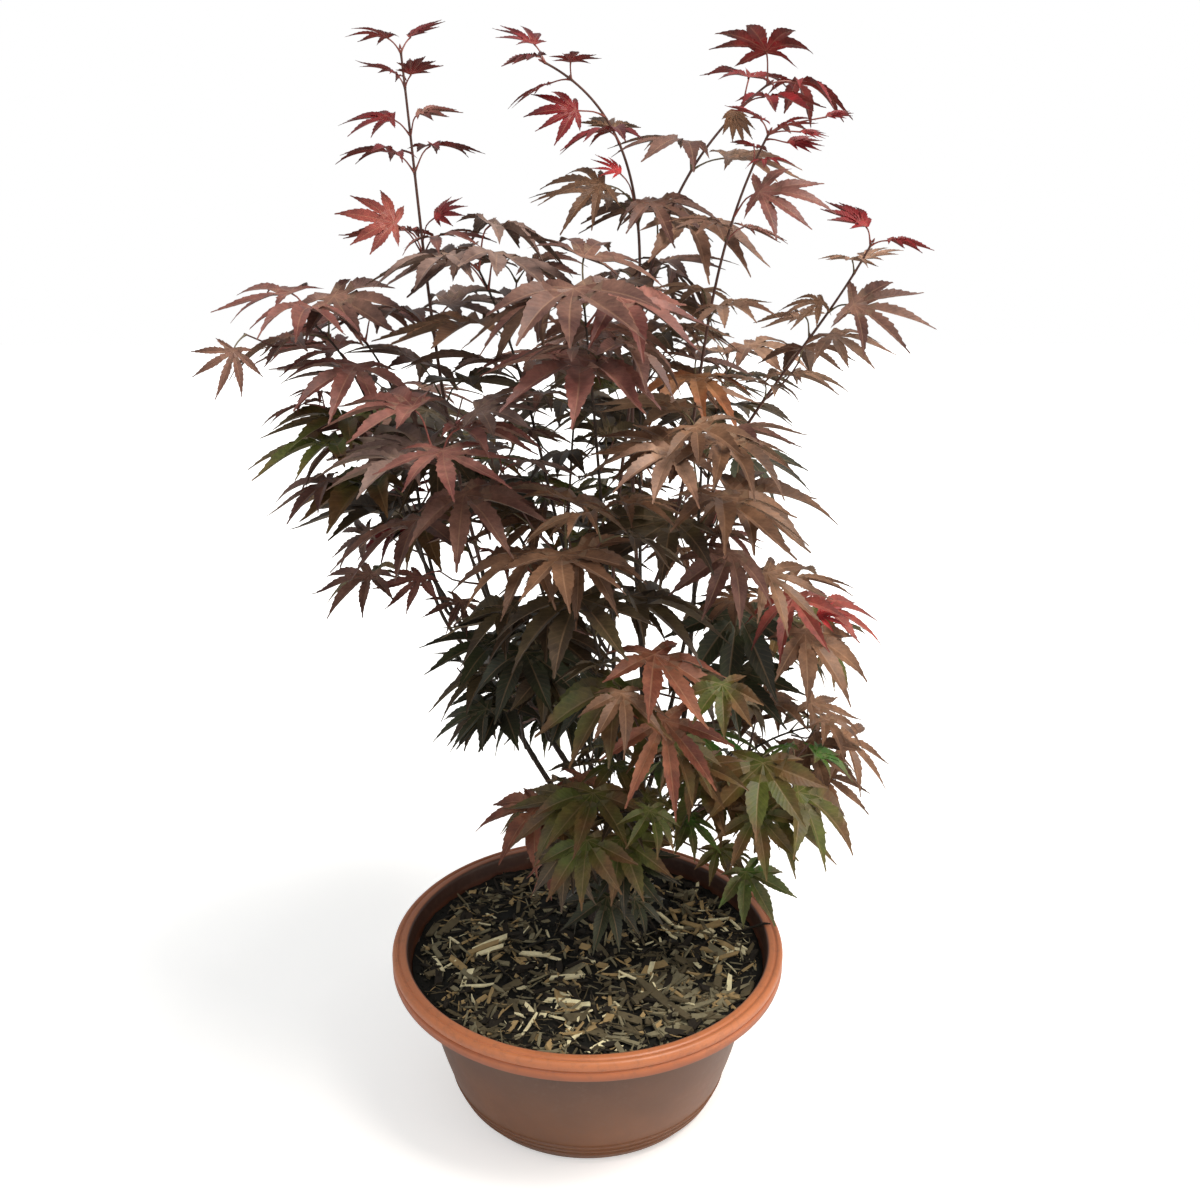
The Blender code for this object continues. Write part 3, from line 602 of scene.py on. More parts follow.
# where pale chips lie thickest: x, y and spread
paleSpots = (
    (-0.075, -0.004, 0.017), (-0.040, -0.012, 0.012), (-0.018, -0.062, 0.013), (-0.010, -0.088, 0.012),
    (0.088, 0.030, 0.022), (0.100, -0.006, 0.020), (0.030, -0.036, 0.015), (-0.085, -0.040, 0.014),
)


def barkMaterial(name, code, streaks):
    # chopped and weathered bark or sapwood: dry, matt and fibrous, with grain along each chip
    mat, shader, where = newMaterial(name, ior=1.5, specular=0.25)
    patch = addNode(mat, "TexNoise", {"Vector": where, "Scale": 130.0, "Detail": 5.0, "Roughness": 0.65})
    grain = addNode(mat, "TexNoise", {"Vector": where, "Scale": 800.0, "Detail": 3.0})
    span = addNode(mat, "MapRange", {"Value": patch, "From Min": 0.3, "From Max": 0.72})
    colour = hexColour(code)
    darker = (*[c * (1 - streaks) for c in colour[:3]], 1)
    lighter = (*[min(1, c * (1 + 0.6 * streaks)) for c in colour[:3]], 1)
    tone = addNode(mat, "Mix", {0: span, 6: darker, 7: lighter})
    bump = addNode(mat, "Bump", {"Strength": 0.5, "Distance": 0.0004, "Height": grain})
    rough = addNode(mat, "MapRange", {"Value": grain, "To Min": 0.72, "To Max": 0.95})
    return joinUp(mat, shader, tone, rough, bump)


def buildMulch():
    bed = buildBed()
    # moist peat-free compost: near black with a green-grey cast, crumbly and quite matt
    soil = barkMaterial("moist crumbly compost", *bedForm["compost"])
    greyCrumb = barkMaterial("grey compost crumb", *bedForm["greyCrumb"])
    bed.data.materials.append(soil)
    draw = random.Random(bedForm["seed"])
    down = Vector((0, 0, -1))

    def groundAt(x, y):
        hit, place, _, _ = bed.ray_cast(Vector((x, y, 0.2)), down)
        return place.z if hit else bedForm["top"]

    lumps = [crumbShape(seed) for seed in range(bedForm["crumbKinds"])]
    crumbs = newHeap()
    wall = innerRadius(bedForm["top"]) - bedForm["crumbClear"]
    for _ in range(bedForm["crumbs"]):
        place = spot(draw.uniform(0, 360), wall * math.sqrt(draw.random()), 0)
        place.z = groundAt(place.x, place.y) + draw.uniform(*bedForm["crumbLift"])
        along = heading(draw.uniform(0, 360), give(draw, bedForm["crumbTilt"]))
        across = along.orthogonal().normalized()
        size = draw.uniform(*bedForm["crumbSize"])
        points, faces = strewn(draw.choice(lumps), place, along, across, along.cross(across), size)
        addShape(crumbs, points, faces, 0 if draw.random() < bedForm["darkCrumbs"] else 1)
    crumbPiece = pieceFrom(crumbs, "compost_crumbs", [soil, greyCrumb], bedForm["crumbAngle"])

    chips = {name: chipShape(kind, seed) for seed, (name, kind) in enumerate(chipKinds.items(), 1)}
    weights = [kind.share for kind in chipKinds.values()]
    tones = list(barkTones)
    strewnChips = newHeap()
    reach = innerRadius(bedForm["top"]) - bedForm["wallClear"]
    for _ in range(bedForm["chips"]):
        place = spot(draw.uniform(0, 360), reach * math.sqrt(draw.random()), 0)
        pile = nearness(place, *bedForm["heap"])
        shade = nearness(place, *bedForm["shade"])
        if draw.random() < bedForm["thinned"] * shade:
            continue
        kind = draw.choices(list(chips), weights)[0]
        length = draw.triangular(*bedForm["chipLength"])
        length *= bedForm["longer"] if draw.random() < bedForm["longShare"] else 1
        length *= chipKinds[kind].size * (1 + bedForm["heapLonger"] * pile)
        pale = max(nearness(place, *one) for one in paleSpots)
        share = [one.share * (one.least + one.pale * pale + one.pile * pile + one.shade * shade)
                 for one in barkTones.values()]
        tone = draw.choices(range(len(tones)), share)[0]
        along = heading(draw.uniform(0, 360), draw.gauss(0, bedForm["tilt"]))
        lean = draw.gauss(0, bedForm["lean"])
        # nothing pokes through the bowl's wall
        if max((place + along * length * s / 2).xy.length for s in (-1, 1)) > reach + bedForm["overhang"]:
            continue
        place.z = groundAt(place.x, place.y) + draw.uniform(*bedForm["chipLift"])
        layChip(strewnChips, chips[kind], place, along, lean, length, tone)
    for fromEnd, toEnd, kind, tone in bedForm["laid"]:
        start, end = (Vector((x, y, groundAt(x, y) + bedForm["laidLift"])) for x, y in (fromEnd, toEnd))
        run = end - start
        layChip(strewnChips, chips[kind], (start + end) / 2, run.normalized(), bedForm["laidLean"],
                run.length, tones.index(tone))
    # one thin dead twig leans over the rim at the right
    addShape(strewnChips, *closedTube(bedForm["twig"], bedForm["twigRadii"], 6), 2)
    barks = [barkMaterial(name, code, bedForm["chipStreaks"]) for name, (code, *_) in barkTones.items()]
    chipPiece = pieceFrom(strewnChips, "bark_chips", barks, bedForm["chipAngle"])
    for piece in (bed, crumbPiece, chipPiece):
        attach(piece, "root")
        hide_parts("bark_mulch")
    print("mulch:", len(crumbs["faces"]), "crumb faces,", len(strewnChips["faces"]), "chip faces")


buildMulch()


# The plant's rule: trunk, boughs, one twig for each mass of leaves, and crosswise pairs of leaves down each
# twig. Bearings in degrees round the bowl's axis from +X, reach from that axis, height above the ground.
limbRule = {
    "gap": 0.0003,
    "step": 0.050,
    "pull": 0.36,  # how far a limb holds its first and last direction, as a share of its span
    "collar": 0.0022,  # a side limb leaves square to its parent for this length
    "twigRadius": 0.0019,
    "twigShare": 0.85,
    "twigTip": 0.0009,
    "testSides": 6,
    "testClearance": 0.0006,
    "fineSteps": 14,  # how many times finer the drawn limbs are than the rule's own pieces
    "slim": 0.78,  # thickness of the drawn limbs beside the source's, which must hold as solids
}
trunkForm = {
    "foot": Vector((0.010, 0.050, 0.1123)),
    "top": Vector((0.041, 0.052, 0.240)),
    "rise": 68,
    "topRise": 88,
    "flareRadius": 0.0115,
    "radius": 0.0066,
    "topRadius": 0.0050,
    "flareHeight": 0.014,
    "pieces": 6,
}
Bough = namedtuple("Bough", "name place bearing reach height rise tipRise radius tipRadius")
Spray = namedtuple(
    "Spray", "name parent place bearing reach height rise tipRise pairs leaf turn hang tipLeaf",
    defaults=(0.85,))
boughs = [Bough(*row) for row in (
    ("left_arching_bough", 0.42, 169.6, 0.111, 0.411, 50, 62, 0.0031, 0.0022),
    ("left_upright_bough", 0.62, 152.9, 0.088, 0.420, 52, 80, 0.0031, 0.0022),
    ("centre_bough", 1.0, 51.3, 0.058, 0.420, 85, 84, 0.0040, 0.0030),
    ("centre_left_bough", 0.90, 49.2, 0.029, 0.400, 60, 88, 0.0027, 0.0021),
    ("right_bough", 0.80, 20.6, 0.085, 0.420, 55, 84, 0.0029, 0.0021),
    ("front_bough", 0.70, -53.7, 0.037, 0.335, 45, 60, 0.0026, 0.0019),
    ("back_left_bough", 0.52, 105.6, 0.130, 0.360, 50, 66, 0.0028, 0.0020),
    ("back_right_bough", 0.74, 55.8, 0.151, 0.360, 48, 66, 0.0028, 0.0020),
)]
sprays = [Spray(*row) for row in (
    ("left_leader", "left_upright_bough", 1.0, 180, 0.113, 0.762, 80, 84, 8, 0.068, 45, 2, 0.42),
    ("middle_left_leader", "centre_left_bough", 1.0, 180, 0.026, 0.755, 84, 22, 6, 0.068, 60, 6, 0.46),
    ("middle_right_leader", "centre_bough", 1.0, 14, 0.122, 0.744, 84, 36, 6, 0.070, 30, 6, 0.7),
    ("right_leader", "centre_bough", 0.80, -20, 0.118, 0.714, 58, 54, 5, 0.066, 75, 8, 0.36),
    ("far_right_leader", "right_bough", 1.0, -13, 0.181, 0.650, 62, 62, 4, 0.072, 0, 4, 0.42),
    ("left_arch", "left_arching_bough", 1.0, 188, 0.176, 0.600, 60, 44, 5, 0.062, 80, 4),
    ("left_inner", "left_arching_bough", 0.90, 166, 0.158, 0.580, 66, 50, 4, 0.066, 20, 4),
    ("left_front", "left_upright_bough", 0.86, 225, 0.130, 0.532, 46, 46, 4, 0.072, 40, 2),
    ("centre_left_upper", "centre_left_bough", 0.75, 200, 0.072, 0.634, 60, 62, 4, 0.072, 20, 5),
    ("centre_front_upper", "centre_left_bough", 0.88, -90, 0.082, 0.618, 64, 64, 4, 0.076, 0, 12, 0.9),
    ("right_front", "right_bough", 0.86, -50, 0.112, 0.535, 54, 58, 4, 0.074, 30, 6),
    ("coral_front", "front_bough", 1.0, -66, 0.104, 0.375, 30, 20, 2, 0.072, 0, 30, 0.9),
    ("centre_front", "front_bough", 0.50, -97, 0.098, 0.470, 68, 50, 4, 0.076, 20, 8),
    ("right_middle", "right_bough", 0.62, -4, 0.146, 0.400, 38, 20, 4, 0.068, 60, 18),
    ("low_right", "trunk", 0.60, 7, 0.168, 0.296, 38, 18, 4, 0.066, 0, 18),
    ("low_right_front", "trunk", 0.50, -21, 0.136, 0.284, 34, 16, 3, 0.068, 30, 24),
    ("low_front", "trunk", 0.34, -85, 0.055, 0.262, 38, 5, 2, 0.064, 0, 20),
    ("low_left_front", "trunk", 0.46, 240, 0.044, 0.265, 40, 12, 2, 0.064, 40, 24),
    ("low_left", "left_arching_bough", 0.46, 206, 0.056, 0.348, 36, 30, 2, 0.064, 70, 16),
    ("left_middle", "left_arching_bough", 0.80, 187, 0.150, 0.522, 48, 38, 4, 0.070, 10, 6),
    ("back_left", "back_left_bough", 1.0, 131, 0.195, 0.500, 60, 45, 4, 0.072, 30, 6),
    ("back", "back_left_bough", 0.82, 92, 0.190, 0.540, 62, 60, 4, 0.072, 0, 6),
    ("back_right", "back_right_bough", 1.0, 56, 0.200, 0.538, 60, 52, 4, 0.070, 60, 6),
    ("back_low_right", "back_right_bough", 0.60, 38, 0.185, 0.350, 30, 20, 3, 0.070, 20, 14),
    ("back_low_left", "trunk", 0.30, 104, 0.145, 0.325, 44, 24, 3, 0.064, 0, 14),
    ("back_upper", "centre_bough", 0.62, 72, 0.125, 0.606, 66, 66, 4, 0.070, 45, 6),
    ("centre_low", "front_bough", 0.45, -30, 0.075, 0.300, 30, 20, 2, 0.070, 20, 18),
    ("centre_low_back", "trunk", 0.70, 100, 0.120, 0.270, 35, 20, 2, 0.070, 20, 18),
    ("left_low", "left_upright_bough", 0.40, 220, 0.056, 0.385, 44, 34, 2, 0.066, 20, 14),
)]


def cubic(start, out, into, end, share):
    rest = 1 - share
    return start * rest**3 + out * 3 * rest**2 * share + into * 3 * rest * share**2 + end * share**3


def limbOf(points, thick, thin):
    steps = [(b - a).length for a, b in zip(points, points[1:])]
    length = sum(steps)
    along = [sum(steps[:i]) for i in range(len(points))]
    radii = [thick + (thin - thick) * s / length for s in along]
    return {"points": points, "length": length, "along": along, "radii": radii, "thick": thick, "thin": thin}


def limbAt(limb, share):
    # point, direction and radius at a share of the limb's length
    place = min(max(share, 0.0), 1.0) * limb["length"]
    points, along, radii = limb["points"], limb["along"], limb["radii"]
    i = 0
    while i < len(points) - 2 and along[i + 1] < place:
        i += 1
    a, b = points[i], points[i + 1]
    part = (place - along[i]) / (b - a).length
    return a.lerp(b, part), (b - a).normalized(), radii[i] + (radii[i + 1] - radii[i]) * part


def grownLimb(parent, place, tip, rise, tipRise, thick, thin):
    # a limb from the parent's tip, or square off its side, that bends towards its own tip
    point, along, radius = limbAt(parent, place)
    towards = bearingOf(tip - point)
    if place >= 1:
        first = along
        foot = point + along * limbRule["gap"]
        out = along
    else:
        side = heading(towards, 0)
        first = (side - along * side.dot(along)).normalized()
        foot = point + first * (radius + limbRule["gap"])
        out = heading(towards, rise)
    start = foot + first * limbRule["collar"]
    span = (tip - start).length * limbRule["pull"]
    last = heading(towards, tipRise)
    count = max(3, round((tip - start).length / limbRule["step"]))
    ends = (start, start + out * span, tip - last * span, tip)
    made = limbOf([foot, start, *[cubic(*ends, (i + 1) / count) for i in range(count)]], thick, thin)
    made["fine"] = fineLine([point, foot, start], ends, count, made, limbRule["slim"])
    return made


def fineLine(roots, ends, count, limb, slim=1.0):
    # the same limb drawn smoothly, from inside its parent on
    steps = count * limbRule["fineSteps"]
    bend = [cubic(*ends, (i + 1) / steps) for i in range(steps)]
    return limbOf([*roots, *bend], limb["thick"] * slim, limb["thin"] * slim)


def trunkLimb():
    form = trunkForm
    start = form["foot"] + Vector((0, 0, form["flareHeight"] / 2))
    towards = bearingOf(form["top"] - start)
    span = (form["top"] - start).length * limbRule["pull"]
    ends = (start, start + heading(towards, form["rise"]) * span,
            form["top"] - heading(towards, form["topRise"]) * span, form["top"])
    bend = [cubic(*ends, (i + 1) / form["pieces"]) for i in range(form["pieces"])]
    trunk = limbOf([form["foot"], start, *bend], form["radius"], form["topRadius"])
    trunk["fine"] = fineLine([form["foot"], start], ends, form["pieces"], trunk)
    for limb in (trunk, trunk["fine"]):
        for i, along in enumerate(limb["along"]):
            flare = max(0.0, 1 - along / form["flareHeight"]) ** 2
            limb["radii"][i] += (form["flareRadius"] - form["radius"]) * flare
    return trunk


def testTube(limb):
    wide = [r + limbRule["testClearance"] for r in limb["radii"]]
    return tubeAlong(limb["points"], wide, limbRule["testSides"])


leafRule = {
    # angle from the middle lobe, share of the length
    "lobes": ((0, 1.00), (33, 0.95), (68, 0.78), (110, 0.46)),
    "shoulderPlace": 0.50,
    "shoulderAngle": 11,
    "sinusPlace": 0.24,
    "notchPlace": 0.06,
    "basalAngle": 90,
    "drop": 0.18,  # drop of a lobe's tip, as a share of the leaf's length
    "sideDrop": 0.5,
    "youngLeaf": 0.050,
    "stalkRadius": 0.0007,
    "stalkShare": 0.42,
    "stalkSpread": 55,
    "stalkLift": 0.25,
    "leastBend": 25,
    "foldLimit": 0.2,
    "steep": 0.2,
    "internode": 0.052,
    "shortInternode": 0.036,
    "tipPlace": 0.002,
    "tipCrowding": 0.38,
    "crowdingEase": 0.6,
    "bareFoot": 0.006,
    "ripening": 0.16,
    "youngTip": 0.8,
    "youngLift": 40,
    "clearArch": 0.045,
    "clearBelow": 0.0016,
    "stalkClear": 0.006,
    "stalkClearShare": 0.3,
    "lowestLeaf": 0.122,
    "rimClearRadius": 0.122,
    "rimClearHeight": 0.134,
    "seed": 100,
    "sizePlay": (0.92, 1.08),
    "stalkPlay": (0.8, 1.2),
    "longerStalk": 0.25,
    "turnPlay": 30,
    "spreadPlay": 18,
    "bearingPlay": 16,
    "hangPlay": (-12, 14),
    "rollPlay": 14,
    "tries": 16,
    "loosest": 1.6,
    "lateTry": 0.7,
    "lateSize": 0.8,
}
Leaf = namedtuple("Leaf", "root hub forward left normal length share outward")


def bothSides(lobes):
    return [(-angle, share) for angle, share in lobes[:0:-1]] + list(lobes)


def plainOutline(grown):
    rule = leafRule
    lobes = bothSides(rule["lobes"])
    ring = [(-180, rule["notchPlace"], 0.0)]
    for i, (angle, share) in enumerate(lobes):
        if i:
            before = lobes[i - 1]
            ring.append(((before[0] + angle) / 2, rule["sinusPlace"] * min(1, share + before[1]), 0.5))
        shouldered = grown and abs(angle) < rule["basalAngle"]
        if shouldered:
            ring.append((angle - rule["shoulderAngle"], share * rule["shoulderPlace"], 1.0))
        ring.append((angle, share, 1.0))
        if shouldered:
            ring.append((angle + rule["shoulderAngle"], share * rule["shoulderPlace"], 1.0))
    return ring


def plainLeaf(leaf, above, below, stalkFrom):
    # the source's own coarse leaf, only used to test for room
    rule = leafRule
    ring = plainOutline(leaf.length > rule["youngLeaf"])
    vertices = [leaf.hub + leaf.normal * above]
    for angle, share, drooping in ring:
        out = swung(leaf.forward, leaf.left, angle)
        drop = rule["drop"] * share * (1 + rule["sideDrop"] * abs(math.sin(math.radians(angle)))) * drooping
        vertices.append(leaf.hub + (out * share - leaf.normal * drop) * leaf.length)
    stalk = (leaf.hub - leaf.root).normalized()
    neck, foot = [], []
    for angle in (-120, 0, 120):
        out = swung(leaf.forward, leaf.left, angle)
        neck.append(leaf.hub + out * rule["stalkRadius"] - leaf.normal * below)
        square = (out - stalk * out.dot(stalk)).normalized()
        foot.append(leaf.root + stalk * stalkFrom + square * rule["stalkRadius"])
    count = len(ring)
    vertices += neck + foot
    faces = []
    holder = [count + 1 + (0 if a[0] < -60 else 1 if a[0] < 60 else 2) for a in ring]
    for i in range(count):
        here, after = i + 1, (i + 1) % count + 1
        faces.append((0, here, after))
        faces.append((after, here, holder[i]))
        if holder[i] != holder[i - 1]:
            faces.append((here, holder[i - 1], holder[i]))
    for k in range(3):
        a, b = count + 1 + k, count + 1 + (k + 1) % 3
        faces.append((b, a, a + 3, b + 3))
    faces.append((count + 6, count + 5, count + 4))
    return vertices, faces


def standingShape(vertices, faces):
    middle = sum(vertices, Vector()) / len(vertices)
    reach = max((v - middle).length for v in vertices)
    return BVHTree.FromPolygons(vertices, faces), middle, reach


def overGround(v):
    rule = leafRule
    return v.z > rule["lowestLeaf"] and (
        v.z > rule["rimClearHeight"] or math.hypot(v.x, v.y) < rule["rimClearRadius"])


def fits(vertices, faces, standing, within=None):
    if not all(overGround(v) for v in vertices):
        return False
    if within and not all(within(v) for v in vertices):
        return False
    tree, middle, reach = standingShape(vertices, faces)
    for other, otherMiddle, otherReach in standing:
        if (otherMiddle - middle).length < reach + otherReach and tree.overlap(other):
            return False
    standing.append((tree, middle, reach))
    return True


def acrossTwig(along):
    # two directions square to a twig, the first as near upright as may be
    upright = Vector((0, 0, 1)) - along * along.z
    top = upright if upright.length > leafRule["steep"] else Vector((1, 0, 0)) - along * along.x
    top.normalize()
    return top, along.cross(top)


def swung(first, second, degrees):
    # the direction part of the way round from one to another at right angles to it
    turn = math.radians(degrees)
    return first * math.cos(turn) + second * math.sin(turn)


def bladeFrame(bearing, rise, roll):
    # where a blade points, its left side and its upper side
    forward = heading(bearing, rise)
    left = heading(bearing + 90, 0)
    left = swung(left, forward.cross(left), roll)
    return forward, left, forward.cross(left)


def roomBody(leaf):
    rule = leafRule
    clear = min(rule["stalkClear"], rule["stalkClearShare"] * (leaf.hub - leaf.root).length)
    return plainLeaf(leaf, rule["clearArch"] * leaf.length, rule["clearBelow"], clear)


def leafAt(limb, share, azimuth, length, hang, draw, loose):
    # one try at a leaf: its stalk leaves the twig at an azimuth, and its blade hangs outward
    rule = leafRule
    point, along, _ = limbAt(limb, share)
    outward = swung(*acrossTwig(along), azimuth + loose * give(draw, rule["turnPlay"]))
    stalk = swung(along, outward, rule["stalkSpread"] + loose * give(draw, rule["spreadPlay"]))
    stalk = (stalk + Vector((0, 0, rule["stalkLift"]))).normalized()
    stalkLength = length * rule["stalkShare"] * draw.uniform(*rule["stalkPlay"])
    hub = point + stalk * stalkLength * (1 + rule["longerStalk"] * loose * draw.random())
    bearing = bearingOf(stalk) + give(draw, rule["bearingPlay"]) * (1 + loose)
    stalkRise = math.degrees(math.asin(stalk.z))
    droop = max(hang + draw.uniform(*rule["hangPlay"]) * (1 + loose), rule["leastBend"] - stalkRise)
    roll = give(draw, rule["rollPlay"]) * (1 + loose)
    return Leaf(point, hub, *bladeFrame(bearing, -droop, roll), length, share, outward)


def foldedBack(leaf):
    return (leaf.hub - leaf.root).normalized().dot(leaf.normal) < leafRule["foldLimit"]


def isYoung(spray):
    return spray.tipLeaf < leafRule["youngTip"]


def leafNodes(limb, spray):
    rule = leafRule
    internode = rule["internode"] if isYoung(spray) else rule["shortInternode"]
    back = rule["tipPlace"]
    nodes = []
    for k in range(spray.pairs):
        ripe = min(1, spray.tipLeaf + rule["ripening"] * max(0, k - 1))
        nodes.append((1 - back / limb["length"], spray.leaf * ripe))
        back += internode * min(1, rule["tipCrowding"] + rule["crowdingEase"] * k)
        if back > limb["length"] - rule["bareFoot"]:
            break
    return nodes


def leavesOf(spray, limb, standing, draw, within=None, tries=None):
    # crosswise pairs of leaves down the twig, leaving out those that find no room
    rule = leafRule
    tries = tries or rule["tries"]
    leaves = []
    for k, (share, length) in enumerate(leafNodes(limb, spray)):
        hang = spray.hang - (rule["youngLift"] / (1 + 2 * k) if isYoung(spray) else 0)
        for half in (0, 180):
            azimuth = spray.turn + 90 * k + half
            for attempt in range(tries):
                loose = attempt / tries * rule["loosest"]
                size = length * draw.uniform(*rule["sizePlay"])
                size *= rule["lateSize"] if attempt > tries * rule["lateTry"] else 1
                leaf = leafAt(limb, share, azimuth, size, hang, draw, loose)
                if not foldedBack(leaf) and fits(*roomBody(leaf), standing, within):
                    leaves.append(leaf)
                    break
    return leaves


# Finer twigs: short side shoots from the nodes of each mass's twig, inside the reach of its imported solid
shootRule = {
    "seed": 400,
    # of a shoot in the axil of each leaf, below and above the height of the open crown
    "chance": (0.60, 0.24),
    "openCrown": 0.46,
    "length": (0.030, 0.070),
    "spread": 48,
    "lift": 0.35,
    "radius": 0.0009,
    "thinner": 0.8,  # at most this share of its twig
    "tip": 0.0005,
    "leaf": (0.62, 0.86),  # size of its leaves beside the mass's own
    "pairs": (1, 2, 2, 3),
    "tries": 5,
    "slack": 0.006,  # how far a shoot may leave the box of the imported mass
    "starts": 3,
    "lowestShare": 0.12,
    "turnPlay": 25,
    "spreadPlay": 14,
    "shorter": 0.3,  # how much shorter each further try is
    "tipLeaf": 0.85,
    "extraNodes": 3,  # nodes further down a twig that bear shoots but no leaves of their own
    "bareAbove": 0.585,  # the leaders bear no shoots above this height, nor do these masses
    "bareMasses": ("back_upper",),
    "firstNode": (1, 3),  # the first node from the tip with shoots, on a usual twig and on a leader
    "bends": (0.3, 0.62),
}


def sideShoots(spray, twig, node, standing, draw):
    rule = shootRule
    low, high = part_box(node)
    slack = rule["slack"]

    def within(v):
        return all(low[k] - slack < v[k] < high[k] + slack for k in range(3))

    shoots = []
    shares = [share for share, _ in leafNodes(twig, spray)]
    gapShare = leafRule["shortInternode"] / twig["length"]
    lowest = shares[-1]
    for _ in range(rule["extraNodes"]):
        lowest -= gapShare
        if lowest > rule["lowestShare"]:
            shares.append(lowest)
    bare = isYoung(spray) or spray.name in rule["bareMasses"]
    for k, share in enumerate(shares):
        point, along, radius = limbAt(twig, share)
        if k < rule["firstNode"][isYoung(spray)] or bare and point.z > rule["bareAbove"]:
            continue
        for half in (0, 180):
            if draw.random() > rule["chance"][point.z > rule["openCrown"]]:
                continue
            for attempt in range(rule["starts"]):
                play = give(draw, rule["turnPlay"]) * (1 + attempt)
                outward = swung(*acrossTwig(along), spray.turn + 90 * k + half + play)
                out = swung(along, outward, rule["spread"] + give(draw, rule["spreadPlay"])).normalized()
                length = draw.uniform(*rule["length"]) / (1 + rule["shorter"] * attempt)
                lean = (out + Vector((0, 0, rule["lift"]))).normalized()
                tip = point + out * length * 0.5 + lean * length * 0.5
                if not (within(tip) and overGround(tip)):
                    continue
                foot = point + outward * radius
                start, onward = (out * length * bend for bend in rule["bends"])
                line = [foot, foot + start, point + onward, tip]
                shoot = limbOf(line, min(rule["radius"], radius * rule["thinner"]), rule["tip"])
                pairs = draw.choice(rule["pairs"])
                leaf = spray.leaf * draw.uniform(*rule["leaf"])
                small = spray._replace(pairs=pairs, leaf=leaf, turn=draw.uniform(0, 180),
                                       tipLeaf=rule["tipLeaf"])
                leaves = leavesOf(small, shoot, standing, draw, within, rule["tries"])
                if leaves:
                    shoots.append((shoot, leaves))
                    break
    return shoots


# Single leaves that mark the real plant: where each leaves its leader, its hub, where it points, its tilt to
# the side, its length, how far it is still folded, and its tint
Single = namedtuple("Single", "spray height hub bearing rise roll length closing tint")
singles = [Single(*row) for row in (
    ("left_leader", 0.636, (-0.121, -0.010, 0.660), 186, 14, -52, 0.037, 0.0, "coral red"),
    ("left_leader", 0.646, (-0.094, -0.012, 0.664), -8, 22, 45, 0.022, 0.6, "crimson"),
    ("left_leader", 0.712, (-0.121, 0.002, 0.722), 182, -4, -20, 0.036, 0.2, "crimson"),
    ("left_leader", 0.712, (-0.104, 0.002, 0.725), -4, 2, 15, 0.028, 0.5, "rosewood"),
    ("middle_left_leader", 0.666, (0.022, 0.010, 0.690), 176, 26, -30, 0.022, 0.6, "scarlet"),
    ("middle_left_leader", 0.668, (0.010, 0.004, 0.683), 192, -8, -36, 0.046, 0.0, "bronze"),
    ("middle_left_leader", 0.722, (-0.006, 0.002, 0.727), 190, 0, -48, 0.034, 0.2, "crimson"),
    ("middle_right_leader", 0.724, (0.094, 0.022, 0.727), -60, -55, 10, 0.026, 0.9, "bronze"),
    ("right_leader", 0.664, (0.102, -0.037, 0.680), -8, -4, 38, 0.048, 0.0, "rosewood"),
    ("right_leader", 0.712, (0.130, -0.042, 0.721), 2, 6, 20, 0.017, 1.0, "crimson"),
    ("right_leader", 0.711, (0.1285, -0.048, 0.714), -8, -10, 20, 0.017, 1.0, "crimson"),
    ("right_leader", 0.709, (0.122, -0.044, 0.708), -4, -6, 30, 0.022, 1.0, "crimson"),
    ("far_right_leader", 0.606, (0.160, -0.042, 0.615), -14, -12, 32, 0.056, 0.0, "mauve brown"),
    ("far_right_leader", 0.606, (0.148, -0.036, 0.614), 186, -12, -24, 0.030, 0.2, "bronze"),
    ("right_middle", 0.396, (0.158, -0.034, 0.404), -14, 8, 30, 0.024, 0.5, "scarlet"),
)]


# how they look for a place: slices of their leader, then steps onward and nearer to the viewer
singleRule = {"slices": 200, "steps": 8, "onward": 0.0022, "nearer": 0.0012}


def singleLeaves(twigs, standing):
    # each stands where it has room, if need be a little further out and nearer to the viewer
    found = {}
    for one in singles:
        twig = twigs[one.spray]
        slices = singleRule["slices"]
        share = next(s / slices for s in range(slices + 1)
                     if limbAt(twig, s / slices)[0].z >= one.height or s == slices)
        root = limbAt(twig, share)[0]
        axes = bladeFrame(one.bearing, one.rise, one.roll)
        for step in range(singleRule["steps"]):
            nearer = Vector((0, singleRule["nearer"] * step, 0))
            hub = Vector(one.hub) + axes[0] * singleRule["onward"] * step - nearer
            leaf = Leaf(root, hub, *axes, one.length, share, (hub - root).normalized())
            if fits(*roomBody(leaf), standing):
                found.setdefault(one.spray, []).append((leaf, one))
                break
    return found


